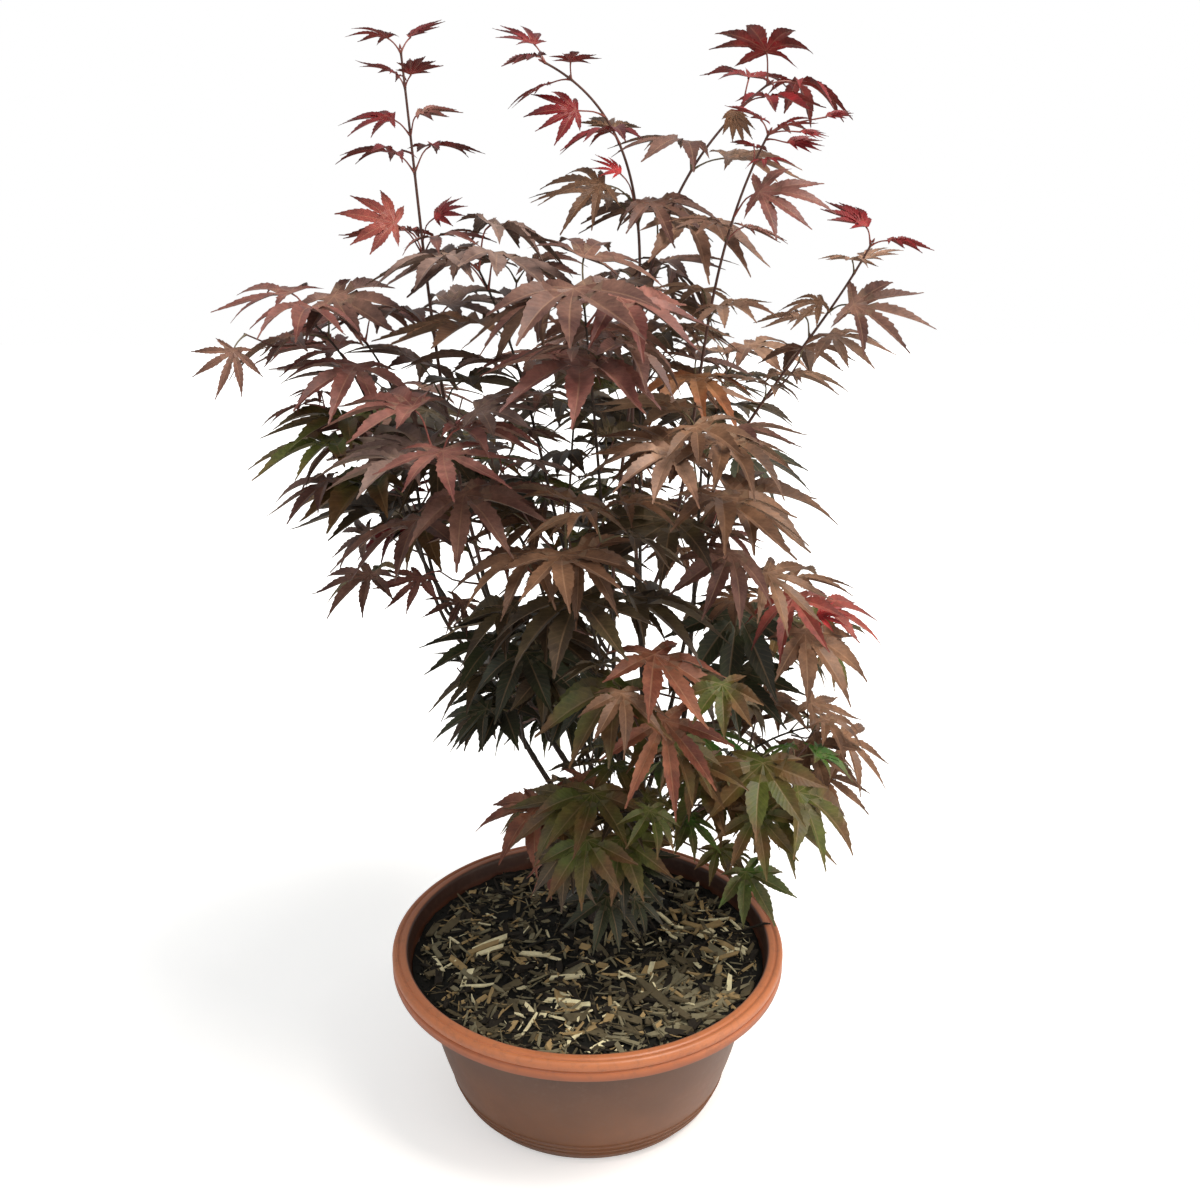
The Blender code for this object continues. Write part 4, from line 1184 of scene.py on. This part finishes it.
# How a drawn leaf goes beyond the source's coarse one: toothed, whip-tipped lobes that fold and droop
leafForm = {
    "width": 0.100,  # half width of a lobe at its widest, as a share of the leaf's length
    "slimmer": (0.72, 1.10),  # how the width varies from leaf to leaf
    "widthAlong": ((0.0, 0.42), (0.22, 0.62), (0.36, 0.90), (0.48, 1.0), (0.60, 0.90), (0.71, 0.66),
                   (0.81, 0.38), (0.90, 0.17), (1.0, 0.0)),
    "sinus": 0.165,  # how far out neighbouring lobes part
    "stations": {"long": 8, "side": 7, "basal": 4},
    "tooth": 0.0190,
    "toothPlace": 0.84,  # how far each tooth leans towards the lobe's tip
    "fold": 0.44,
    "thickness": 0.0075,
    "droopPower": 1.7,
    "droop": (0.15, 1.7, 0.6),  # least, most and usual droop beside the source's
    "sway": 0.11,  # sideways bend of all lobes of a leaf
    "flick": 0.07,  # up or down turn of a lobe's last quarter
    "swell": 0.05,  # rise of the lobe before it droops
    "foldPlay": (0.5, 1.6),
    "closingFold": 1.2,
    "gather": 0.5,  # how far the lobes of a folded leaf come together
    "sinusPlay": (0.85, 1.1),
    "lobeTurn": 5,
    "lobePlay": (0.90, 1.02),
    "dropPlay": (0.7, 1.3),
    "lobeSway": 0.07,
    "twist": 0.45,
    "swellPlay": (0, 1.6),
    "widthPlay": (0.9, 1.12),
    "basalWidth": 0.75,
    "sinusFold": 0.02,
    "sinusDrop": 0.012,
    "longLobe": 0.9,  # lobes above this share of the leaf have the most stations
    "start": 0.15,  # where the free part of a lobe starts
    "basalStart": 0.24,
    "flickFrom": 0.72,
    "flickGain": 10,
    "stationEase": 0.92,
    "thinning": 0.6,  # how much thinner a lobe is at its tip
    "toothEase": 0.55,  # how much smaller the teeth are there
    "smoothAngle": 13,
    "toothPlay": (0.7, 1.3),
    "shadeWidth": 1.22,  # how much broader the lobes of shade leaves are
    "openingLeaf": 0.040,  # leaves below this length are still opening
    "openingWidth": 0.8,
    "openingFold": (0.1, 0.9),
    "singleWidth": 0.9,
    "seed": 700,
}


def between(table, place):
    for (a, fromValue), (b, toValue) in zip(table, table[1:]):
        if place <= b:
            return fromValue + (toValue - fromValue) * (place - a) / (b - a)
    return table[-1][1]


def drawnLeaf(leaf, upper, under, draw, slender=1.0, closing=0.0):
    # closing folds the lobes and brings them together, as on a leaf that has just opened
    form, rule = leafForm, leafRule
    lobes = bothSides(rule["lobes"])
    points = [(0, 0, 0), (0, 0, -form["thickness"])]
    uvs = [(0.5, 0.0), (0.5, 0.0)]
    faces, slots = [], []
    opened = 1 - closing
    fold = form["fold"] * draw.uniform(*form["foldPlay"]) * (1 + form["closingFold"] * closing)
    slender *= draw.uniform(*form["slimmer"])
    droop = draw.triangular(*form["droop"])
    sway = draw.uniform(-1, 1) * form["sway"] * opened
    # one point where neighbouring lobes part, and one at the notch over the stalk
    sinus = []
    for i in range(len(lobes)):
        angle, reach = -180, rule["notchPlace"]
        if i:
            angle = (lobes[i - 1][0] + lobes[i][0]) / 2 * (1 - form["gather"] * closing)
            reach = form["sinus"] * min(1, lobes[i - 1][1] + lobes[i][1]) * draw.uniform(*form["sinusPlay"])
        turn = math.radians(angle)
        points.append((math.cos(turn) * reach, math.sin(turn) * reach,
                       form["sinusFold"] * fold - form["sinusDrop"]))
        uvs.append((0.0, reach))
        sinus.append(len(points) - 1)
    sinus.append(sinus[0])

    def strip(ribRun, lowRun, right, left):
        # both skins of a stretch of a lobe, right and left of its rib, with edges that run towards the tip
        faces.extend([(*ribRun, *right[::-1]), (*ribRun[::-1], *left),
                      (*right, *lowRun[::-1]), (*lowRun, *left[::-1])])
        slots.extend([upper, upper, under, under])

    for i, (angle, share) in enumerate(lobes):
        basal = abs(angle) > rule["basalAngle"]
        count = form["stations"]["basal" if basal else "long" if share > form["longLobe"] else "side"]
        gathered = angle * (1 - form["gather"] * closing)
        turn = math.radians(gathered + give(draw, form["lobeTurn"]) * opened)
        c, s = math.cos(turn), math.sin(turn)
        share = share * draw.uniform(*form["lobePlay"])
        tipDrop = rule["drop"] * share * (1 + rule["sideDrop"] * abs(s)) * droop
        tipDrop *= draw.uniform(*form["dropPlay"]) * opened
        bend = (sway + give(draw, form["lobeSway"]) * opened) * share
        roll = give(draw, form["twist"]) * opened
        flick = draw.uniform(-1, 1) * form["flick"] * opened
        swell = form["swell"] * draw.uniform(*form["swellPlay"]) * opened
        wide = form["width"] * slender * draw.uniform(*form["widthPlay"])
        wide *= form["basalWidth"] if basal else 1
        wide *= 0.6 + 0.4 * share
        start = form["basalStart"] if basal else form["start"] / share

        def at(along, across):
            # along is a share of the lobe, across is signed and in leaf lengths
            reach = share * along
            side = across + bend * along * along
            lift = fold * abs(across) + roll * across * along - tipDrop * along ** form["droopPower"]
            lift += swell * math.sin(math.pi * along) * share
            lift += flick * max(0, along - form["flickFrom"]) ** 2 * form["flickGain"] * share
            return (c * reach - s * side, s * reach + c * side, lift)

        def put(place, uv):
            points.append(place)
            uvs.append(uv)
            return len(points) - 1

        ribs, lower = [], []
        edges = {1: [sinus[i + 1]], -1: [sinus[i]]}
        teeth = {1: [], -1: []}
        places = [start + (1 - start) * (j / count) ** form["stationEase"] for j in range(count)] + [1.0]
        for j, (place, nextPlace) in enumerate(zip(places, places[1:])):
            x, y, z = at(place, 0)
            ribs.append(put((x, y, z), (0.5, place)))
            lower.append(put((x, y, z - form["thickness"] * (1 - form["thinning"] * place)), (0.5, place)))
            for sign in (1, -1):
                if j:
                    out = wide * between(form["widthAlong"], place)
                    edges[sign].append(put(at(place, sign * out), (0.5 + 0.5 * sign, place)))
                if j + 1 < count or not basal:
                    mid = place + (nextPlace - place) * form["toothPlace"]
                    out = wide * between(form["widthAlong"], mid)
                    out += form["tooth"] * draw.uniform(*form["toothPlay"]) * (1 - form["toothEase"] * mid)
                    teeth[sign].append(put(at(mid, sign * out), (0.5 + 0.5 * sign, mid)))
        tip = put(at(1.0, 0), (0.5, 1.0))
        strip((0, ribs[0]), (1, lower[0]), edges[1][:1], edges[-1][:1])
        for j in range(count - 1):
            right, left = ([edges[side][j], teeth[side][j], edges[side][j + 1]] for side in (1, -1))
            strip(ribs[j:j + 2], lower[j:j + 2], right, left)
        right, left = ([edges[side][-1], *teeth[side][count - 1:]] for side in (1, -1))
        strip((ribs[-1], tip), (lower[-1], tip), right, left)
    f, l, n = (axis * leaf.length for axis in (leaf.forward, leaf.left, leaf.normal))
    return [leaf.hub + f * x + l * y + n * z for x, y, z in points], faces, slots, uvs


stalkForm = {
    "thick": 0.0004,
    "thicker": 0.0028,  # added per length of its leaf
    "bow": 0.10,
    "profile": (1.9, 1.15, 1.0, 0.95, 1.0, 1.2),  # from its foot to the blade
    "sides": 5,
    "sink": 0.3,
    "below": 0.0002,
    "rise": 0.4,
    "level": 0.25,
    "follow": 0.2,
}


def drawnStalk(leaf, root, radius, slot):
    # thin, a little swollen at its foot, and bowed on its way to the blade
    form = stalkForm
    start = root + (leaf.hub - leaf.root).normalized() * radius * form["sink"]
    end = leaf.hub - leaf.normal * (leafForm["thickness"] * leaf.length + form["below"])
    run = end - start
    rise = start + run * form["rise"] + Vector((0, 0, form["bow"] * run.length))
    into = end - (leaf.forward * form["level"] + run.normalized() * form["follow"]) * run.length
    profile = form["profile"]
    line = [cubic(start, rise, into, end, k / (len(profile) - 1)) for k in range(len(profile))]
    thick = form["thick"] + form["thicker"] * leaf.length
    return *closedTube(line, [thick * r for r in profile], form["sides"]), slot


twigForm = {
    "tube": (8, 0.004, 0.35),  # sides, spacing of the rings, and swell at the nodes
    "shootTube": (5, 0.008, 0.3),
    "smoothAngle": 60,
    "budSize": 0.0022,
    "endBudSize": 0.0032,
    "budAlong": (0, 0.35, 0.7, 1),
    "budRadii": (0.16, 0.27, 0.17, 0.02),
    "budLean": (0.8, 0.6),  # along the twig and outward
    "budOut": 0.6,
    "budOnward": 0.0012,
    # shoots end in shade nearer to the axis than this and this far below the mass's tip
    "shaded": (0.08, 0.06),
}


def bud(place, along, size):
    # a pointed bud in the axil: widest below its middle
    rings = [place + along * size * share for share in twigForm["budAlong"]]
    return closedTube(rings, [size * share for share in twigForm["budRadii"]], 5)


knotForm = {"half": 0.0016, "clear": 1.6, "before": 1.05, "after": 0.3, "tail": 0.8}


def knottedTube(fine, knots, sides, spacing, swell):
    # the smooth limb with a small swelling at each of its nodes
    shares = [i * spacing / fine["length"] for i in range(int(fine["length"] / spacing) + 1)] + [1.0]
    near = knotForm["half"] / fine["length"]
    shares = [s for s in shares if all(abs(s - k) > knotForm["clear"] * near for k in knots)]
    marks = {s: 1.0 for s in shares}
    for k in knots:
        marks[k - near] = knotForm["before"]
        marks[k] = 1 + swell
        marks[k + near * knotForm["tail"]] = 1 + swell * knotForm["after"]
    points, radii = [], []
    for s in sorted(s for s in marks if 0 <= s <= 1):
        point, _, radius = limbAt(fine, s)
        points.append(point)
        radii.append(radius * marks[s])
    return closedTube(points, radii, sides)


# Leaf colours in autumn and in the shade: the blade's own, and what parts of it have turned to
tints = {
    "crimson": ("821C20", "54161A"),
    "coral red": ("92463C", "70302A"),
    "scarlet": ("BC2C32", "8A2828"),
    "rosewood": ("8A5A4F", "64352F"),
    "mauve grey": ("8A7268", "604840"),
    "mauve brown": ("785648", "54342D"),
    "bronze": ("7C5A42", "583C2A"),
    "pale bronze": ("9C7A64", "745240"),
    "dark bronze": ("4A3E26", "3A2C1E"),
    "coral bronze": ("8C5940", "6A3828"),
    "olive": ("4C521E", "5E4224"),
    "ochre": ("806A32", "6A4626"),
    "slate green": ("31361F", "28271A"),
    "fresh green": ("3E681E", "54502A"),
    "tan": ("9A6A46", "8A5434"),
}
redStalks = ("crimson", "coral red", "scarlet", "rosewood", "mauve grey", "coral bronze")
dealShares = (0.93, 0.6)  # shares of the twig where its tip and its middle begin
redLeaves = ("crimson", "coral red", "scarlet")  # red on their undersides too
shadeLeaves = ("slate green", "olive", "fresh green", "dark bronze")  # these grow broader lobes
# tints of the leaves of each mass, at its growing tip, in its middle and at its shaded foot
dealt = {
    "left_leader": "crimson / crimson, rosewood, coral red / mauve brown, mauve grey, dark bronze",
    "middle_left_leader": "crimson / mauve brown, crimson, bronze / mauve brown, bronze",
    "middle_right_leader": "crimson / mauve brown, pale bronze / mauve brown, bronze, dark bronze",
    "right_leader": "crimson / rosewood, pale bronze / tan, pale bronze, mauve brown",
    "far_right_leader": "crimson / mauve brown, pale bronze / bronze, pale bronze",
    "left_arch": "rosewood / rosewood, mauve brown / mauve grey, olive, mauve brown",
    "left_inner": "rosewood / mauve grey, mauve brown / dark bronze, mauve brown",
    "left_front": "rosewood / mauve brown, rosewood, mauve grey / dark bronze, mauve brown",
    "centre_left_upper": "mauve grey / mauve brown, bronze / dark bronze, slate green",
    "centre_front_upper": "rosewood, mauve brown / mauve brown, rosewood / dark bronze, bronze",
    "right_front": "bronze / bronze, mauve brown, pale bronze / dark bronze, bronze",
    "coral_front": "coral bronze / bronze, dark bronze, olive / dark bronze, slate green",
    "centre_front": "bronze / bronze, dark bronze, olive / slate green, dark bronze",
    "right_middle": "coral red / pale bronze, bronze, olive / slate green, olive",
    "low_right": "bronze, ochre / olive, bronze / fresh green, olive",
    "low_right_front": "olive / olive, fresh green / slate green, olive",
    "low_front": "olive / olive, dark bronze / slate green",
    "low_left_front": "coral red / coral bronze, dark bronze / slate green",
    "low_left": "slate green, dark bronze / slate green / slate green",
    "left_middle": "mauve grey, olive / mauve brown, olive / dark bronze, olive",
    "back_left": "mauve brown / dark bronze, olive / slate green",
    "back": "mauve brown, bronze / dark bronze, olive / slate green",
    "back_right": "pale bronze / dark bronze, bronze / slate green, olive",
    "back_low_right": "bronze, olive / olive / slate green, fresh green",
    "back_low_left": "dark bronze, olive / slate green / slate green, olive",
    "back_upper": "mauve brown / mauve brown, pale bronze / dark bronze",
    "centre_low": "slate green, olive / slate green, fresh green / fresh green, slate green",
    "centre_low_back": "slate green / slate green, fresh green / slate green",
    "left_low": "slate green, olive / slate green, dark bronze / slate green, fresh green",
}


def blended(code, goal, share):
    return (*[a + (b - a) * share for a, b in zip(hexColour(code)[:3], hexColour(goal)[:3])], 1)


def leafMaterial(name, code, turned, goal, share, gloss):
    # a thin leaf with a waxy skin: satin gleam, its tips and patches of it turned in colour,
    # a paler rib down each lobe and side veins that show as faint lines and shallow ridges
    mat, shader, where = newMaterial(name, ior=1.45, specular=0.38)
    shader.inputs["Sheen Weight"].default_value = 0.06
    shader.inputs["Sheen Roughness"].default_value = 0.4
    lobe = addNode(mat, "SeparateXYZ", {"Vector": where.node.outputs["UV"]})
    drift = addNode(mat, "TexNoise", {"Vector": where, "Scale": 28.0, "Detail": 2.0})
    lean = addNode(mat, "Math", {0: lobe.outputs["Y"], 1: 0.32, 2: drift}, "MULTIPLY_ADD")
    turn = addNode(mat, "MapRange", {"Value": lean, "From Min": 0.54, "From Max": 0.80})
    base = addNode(mat, "Mix", {0: turn, 6: blended(code, goal, share), 7: blended(turned, goal, share)})
    mottle = addNode(mat, "TexNoise", {"Vector": where, "Scale": 140.0, "Detail": 5.0, "Roughness": 0.72})
    span = addNode(mat, "MapRange",
                   {"Value": mottle, "From Min": 0.32, "From Max": 0.68, "To Min": 0.66, "To Max": 1.36})
    tone = addNode(mat, "VectorMath", {0: base, "Scale": span}, "SCALE")
    # side veins run forward from the rib at a slant, some fifteen to a lobe of 70 mm
    across = addNode(mat, "Math", {0: lobe.outputs["X"], 1: 0.5}, "SUBTRACT")
    away = addNode(mat, "Math", {0: across}, "ABSOLUTE")
    slant = addNode(mat, "Math", {0: away, 1: -0.26, 2: lobe.outputs["Y"]}, "MULTIPLY_ADD")
    waves = addNode(mat, "Math", {0: slant, 1: 95.0}, "MULTIPLY")
    ridge = addNode(mat, "Math", {0: waves}, "SINE")
    rib = addNode(mat, "MapRange", {"Value": away, "From Min": 0.060, "From Max": 0.020, "To Max": 0.34})
    vein = addNode(mat, "MapRange", {"Value": ridge, "From Min": 0.80, "From Max": 1.0, "To Max": 0.09})
    lines = addNode(mat, "Math", {0: rib, 1: vein}, "MAXIMUM")
    final = addNode(mat, "Mix", {0: lines, 6: tone, 7: blended(code, leafLooks["ribTone"], 0.6)})
    bump = addNode(mat, "Bump", {"Strength": 0.10, "Distance": 0.0003, "Height": ridge})
    rough = addNode(mat, "MapRange", {"Value": mottle, "To Min": gloss, "To Max": gloss + 0.16})
    return joinUp(mat, shader, final, rough, bump)


def stemMaterial(name, dark, light, rough):
    # smooth young maple bark: a thin waxy skin with pale pores and fine stretch marks
    mat, shader, where = newMaterial(name, ior=1.48, specular=0.4)
    stretched = addNode(mat, "Mapping", {"Vector": where, "Scale": (1.0, 1.0, 0.22)})
    streak = addNode(mat, "TexNoise", {"Vector": stretched, "Scale": 420.0, "Detail": 4.0, "Roughness": 0.6})
    patch = addNode(mat, "TexNoise", {"Vector": where, "Scale": 60.0, "Detail": 3.0})
    both = addNode(mat, "Math", {0: patch, 1: 0.8, 2: -0.4}, "MULTIPLY_ADD", True)
    mixed = addNode(mat, "Math", {0: streak, 1: 0.9, 2: both}, "MULTIPLY_ADD", True)
    tone = addNode(mat, "Mix", {0: mixed, 6: hexColour(dark), 7: hexColour(light)})
    # pores: scattered pale dots under a millimetre
    pores = addNode(mat, "TexVoronoi", {"Vector": where, "Scale": 330.0})
    dots = addNode(mat, "MapRange", {"Value": pores, "From Min": 0.16, "From Max": 0.06})
    faint = addNode(mat, "Math", {0: dots, 1: 0.5}, "MULTIPLY")
    final = addNode(mat, "Mix", {0: faint, 6: tone, 7: hexColour("8E7A66")})
    bump = addNode(mat, "Bump", {"Strength": 0.4, "Distance": 0.0003, "Height": streak})
    gleam = addNode(mat, "MapRange", {"Value": streak, "To Min": rough - 0.1, "To Max": rough + 0.12})
    return joinUp(mat, shader, final, gleam, bump)


# Bark from old to young, then the stalks of red and of other leaves: dark, light and roughness
stemLooks = {
    "smooth dark maple bark": ("1E1815", "4A3A2E", 0.62),
    "young maple shoot": ("47302A", "6E4A3E", 0.5),
    "tender red shoot": ("6A3836", "8E5148", 0.45),
    "red leaf stalk": ("6E3430", "9A5A4C", 0.45),
    "green-brown leaf stalk": ("4A4028", "6C6040", 0.5),
}
leafSlots = ((0.65, "crimson_leaves"), (0.35, "bronze_leaves"), (0, "green_leaves"))  # from each height up
leafLooks = {
    "rough": 0.40,
    "underRough": 0.6,
    "underTone": "84745E",  # undersides pale towards this by these shares
    "redPale": 0.10,
    "otherPale": 0.28,
    "ribTone": "C09A78",
}

# Trunk and boughs: one mesh, fused by remeshing, with the bark's relief pressed into it
woodForm = {
    "voxel": 0.0008,
    "smoothing": (0.5, 2),  # how strongly and how many times
    "seed": 3,
    "nodeLength": 0.0022,
    "collarLength": 0.005,
    "ringSpacing": 0.003,
    "nodeEvery": 0.042,
    "nodeSwell": 0.16,
    "collarSwell": 0.45,
    "relief": 0.00055,
    "reliefSize": 0.0042,
}


def buildWood(limbs, mat):
    form = woodForm
    tubes = []
    draw = random.Random(form["seed"])
    for name, limb in limbs.items():
        fine = limb["fine"]
        curve = bpy.data.curves.new(name, "CURVE")
        curve.dimensions = "3D"
        curve.bevel_depth = 1.0
        curve.bevel_resolution = 4
        curve.use_fill_caps = True
        line = curve.splines.new("POLY")
        count = int(fine["length"] / form["ringSpacing"])
        line.points.add(count)
        shift = draw.uniform(0, form["nodeEvery"])
        for i, node in enumerate(line.points):
            share = i / count
            point, _, radius = limbAt(fine, share)
            along = share * fine["length"]
            nearest = abs((along + shift) % form["nodeEvery"] - form["nodeEvery"] / 2)
            radius *= 1 + form["nodeSwell"] * math.exp(-(nearest / form["nodeLength"]) ** 2)
            if name != "trunk":
                radius *= 1 + form["collarSwell"] * math.exp(-along / form["collarLength"])
            node.co = (*point, 1)
            node.radius = radius
        tube = bpy.data.objects.new(name + "_tube", curve)
        bpy.context.scene.collection.objects.link(tube)
        tubes.append(tube)
    selectOnly(tubes[0])
    for tube in tubes:
        tube.select_set(True)
    bpy.ops.object.convert(target="MESH")
    bpy.ops.object.join()
    made = bpy.context.object
    made.name = "trunk_and_boughs"
    bpy.ops.object.modifier_add(type="REMESH")
    remesh = made.modifiers[-1]
    remesh.mode = "VOXEL"
    remesh.voxel_size = form["voxel"]
    bpy.ops.object.modifier_apply(modifier=remesh.name)
    bpy.ops.object.modifier_add(type="SMOOTH")
    smooth = made.modifiers[-1]
    smooth.factor, smooth.iterations = form["smoothing"]
    bpy.ops.object.modifier_apply(modifier=smooth.name)
    pressRelief(made, "barkRelief", form["reliefSize"], form["relief"])
    bpy.ops.object.shade_smooth()
    made.data.materials.clear()
    made.data.materials.append(mat)
    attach(made, "root")
    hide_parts(*limbs)
    print("trunk and boughs:", len(made.data.polygons), "faces")


def grownLimbs():
    limbs = {"trunk": trunkLimb()}
    for bough in boughs:
        tip = spot(bough.bearing, bough.reach, bough.height)
        sizes = (bough.rise, bough.tipRise, bough.radius, bough.tipRadius)
        limbs[bough.name] = grownLimb(limbs["trunk"], bough.place, tip, *sizes)
    twigs = {}
    for spray in sprays:
        parent = limbs[spray.parent]
        tip = spot(spray.bearing, spray.reach, spray.height)
        thick = min(limbRule["twigRadius"], limbAt(parent, spray.place)[2] * limbRule["twigShare"])
        sizes = (spray.rise, spray.tipRise, thick, limbRule["twigTip"])
        twigs[spray.name] = grownLimb(parent, spray.place, tip, *sizes)
    return limbs, twigs


def buildPlant():
    limbs, twigs = grownLimbs()
    standing = [standingShape(*testTube(limb)) for limb in (*limbs.values(), *twigs.values())]
    grown = {}
    for i, spray in enumerate(sprays):
        grown[spray.name] = leavesOf(spray, twigs[spray.name], standing, random.Random(leafRule["seed"] + i))
    print("leaves as packed:", sum(len(leaves) for leaves in grown.values()))
    alone = singleLeaves(twigs, standing)
    print("single leaves:", sum(len(found) for found in alone.values()), "of", len(singles))
    shoots = {}
    for i, spray in enumerate(sprays):
        draw = random.Random(shootRule["seed"] + i)
        shoots[spray.name] = sideShoots(spray, twigs[spray.name], spray.name + "_foliage", standing, draw)
    print("leaves on side shoots:", sum(len(leaves) for made in shoots.values() for _, leaves in made))

    skins = {}
    for name, (code, turned) in tints.items():
        pale = leafLooks["redPale" if name in redLeaves else "otherPale"]
        skins[name] = (
            leafMaterial(name + " leaf", code, turned, code, 0.0, leafLooks["rough"]),
            leafMaterial(name + " leaf underside", code, turned, leafLooks["underTone"], pale,
                         leafLooks["underRough"]))
    stems = [stemMaterial(name, *looks) for name, looks in stemLooks.items()]
    barks, stalkSkins = stems[:3], stems[3:]
    buildWood(limbs, barks[0])

    total = 0
    for i, spray in enumerate(sprays):
        node = spray.name + "_foliage"
        fine = twigs[spray.name]["fine"]
        draw = random.Random(leafForm["seed"] + i)
        leafHeap, twigHeap = newHeap(), newHeap()
        materials, slotOf = [], {}

        def slotFor(mat):
            if mat.name not in slotOf:
                slotOf[mat.name] = len(materials)
                materials.append(mat)
            return slotOf[mat.name]

        def putLeaf(leaf, root, radius, tintName, slender=1.0, closing=0.0):
            upper, under = (slotFor(skin) for skin in skins[tintName])
            slender *= leafForm["shadeWidth"] if tintName in shadeLeaves else 1
            addShape(leafHeap, *drawnLeaf(leaf, upper, under, draw, slender, closing))
            skin = stalkSkins[0 if tintName in redStalks else 1]
            addShape(leafHeap, *drawnStalk(leaf, root, radius, slotFor(skin)))

        tip, middle, foot = (part.split(", ") for part in dealt[spray.name].split(" / "))
        tipFrom, middleFrom = dealShares
        for leaf in grown[spray.name]:
            pick = tip if leaf.share > tipFrom else middle if leaf.share > middleFrom else foot
            root, _, radius = limbAt(fine, leaf.share)
            tint = draw.choice(pick)
            if leaf.length < leafForm["openingLeaf"]:
                putLeaf(leaf, root, radius, tint, leafForm["openingWidth"],
                        draw.uniform(*leafForm["openingFold"]))
            else:
                putLeaf(leaf, root, radius, tint)
        for leaf, one in alone.get(spray.name, []):
            root, _, radius = limbAt(fine, leaf.share)
            putLeaf(leaf, root, radius, one.tint, leafForm["singleWidth"], one.closing)
        knots = sorted({leaf.share for leaf in grown[spray.name]})
        addShape(twigHeap, *knottedTube(fine, knots, *twigForm["tube"]), 1 if isYoung(spray) else 0)
        for leaf in grown[spray.name]:
            root, along, radius = limbAt(fine, leaf.share)
            onward, out = twigForm["budLean"]
            lean = (along * onward + leaf.outward * out).normalized()
            place = root + leaf.outward * radius * twigForm["budOut"] + along * twigForm["budOnward"]
            addShape(twigHeap, *bud(place, lean, twigForm["budSize"]), 2)
        for shoot, leaves in shoots[spray.name]:
            shares = sorted({leaf.share for leaf in leaves})
            addShape(twigHeap, *knottedTube(shoot, shares, *twigForm["shootTube"]), 1)
            end = shoot["points"][-1]
            reach, below = twigForm["shaded"]
            inner = end.xy.length < reach and end.z < spray.height - below
            for leaf in leaves:
                root, _, radius = limbAt(shoot, leaf.share)
                putLeaf(leaf, root, radius, draw.choice(foot if inner else middle))
        addShape(twigHeap, *bud(fine["points"][-1], limbAt(fine, 1.0)[1], twigForm["endBudSize"]), 2)
        leafPiece = pieceFrom(leafHeap, spray.name + "_leaves", materials, leafForm["smoothAngle"])
        twigPiece = pieceFrom(twigHeap, spray.name + "_twigs", barks, twigForm["smoothAngle"])
        slot = next(name for least, name in leafSlots if spray.height > least)
        for piece, finish in ((leafPiece, slot), (twigPiece, "bark")):
            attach(piece, "root")
            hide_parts(node)
            total += sum(len(p.vertices) - 2 for p in piece.data.polygons)
    print("leaves and twigs:", total, "triangles")


buildPlant()
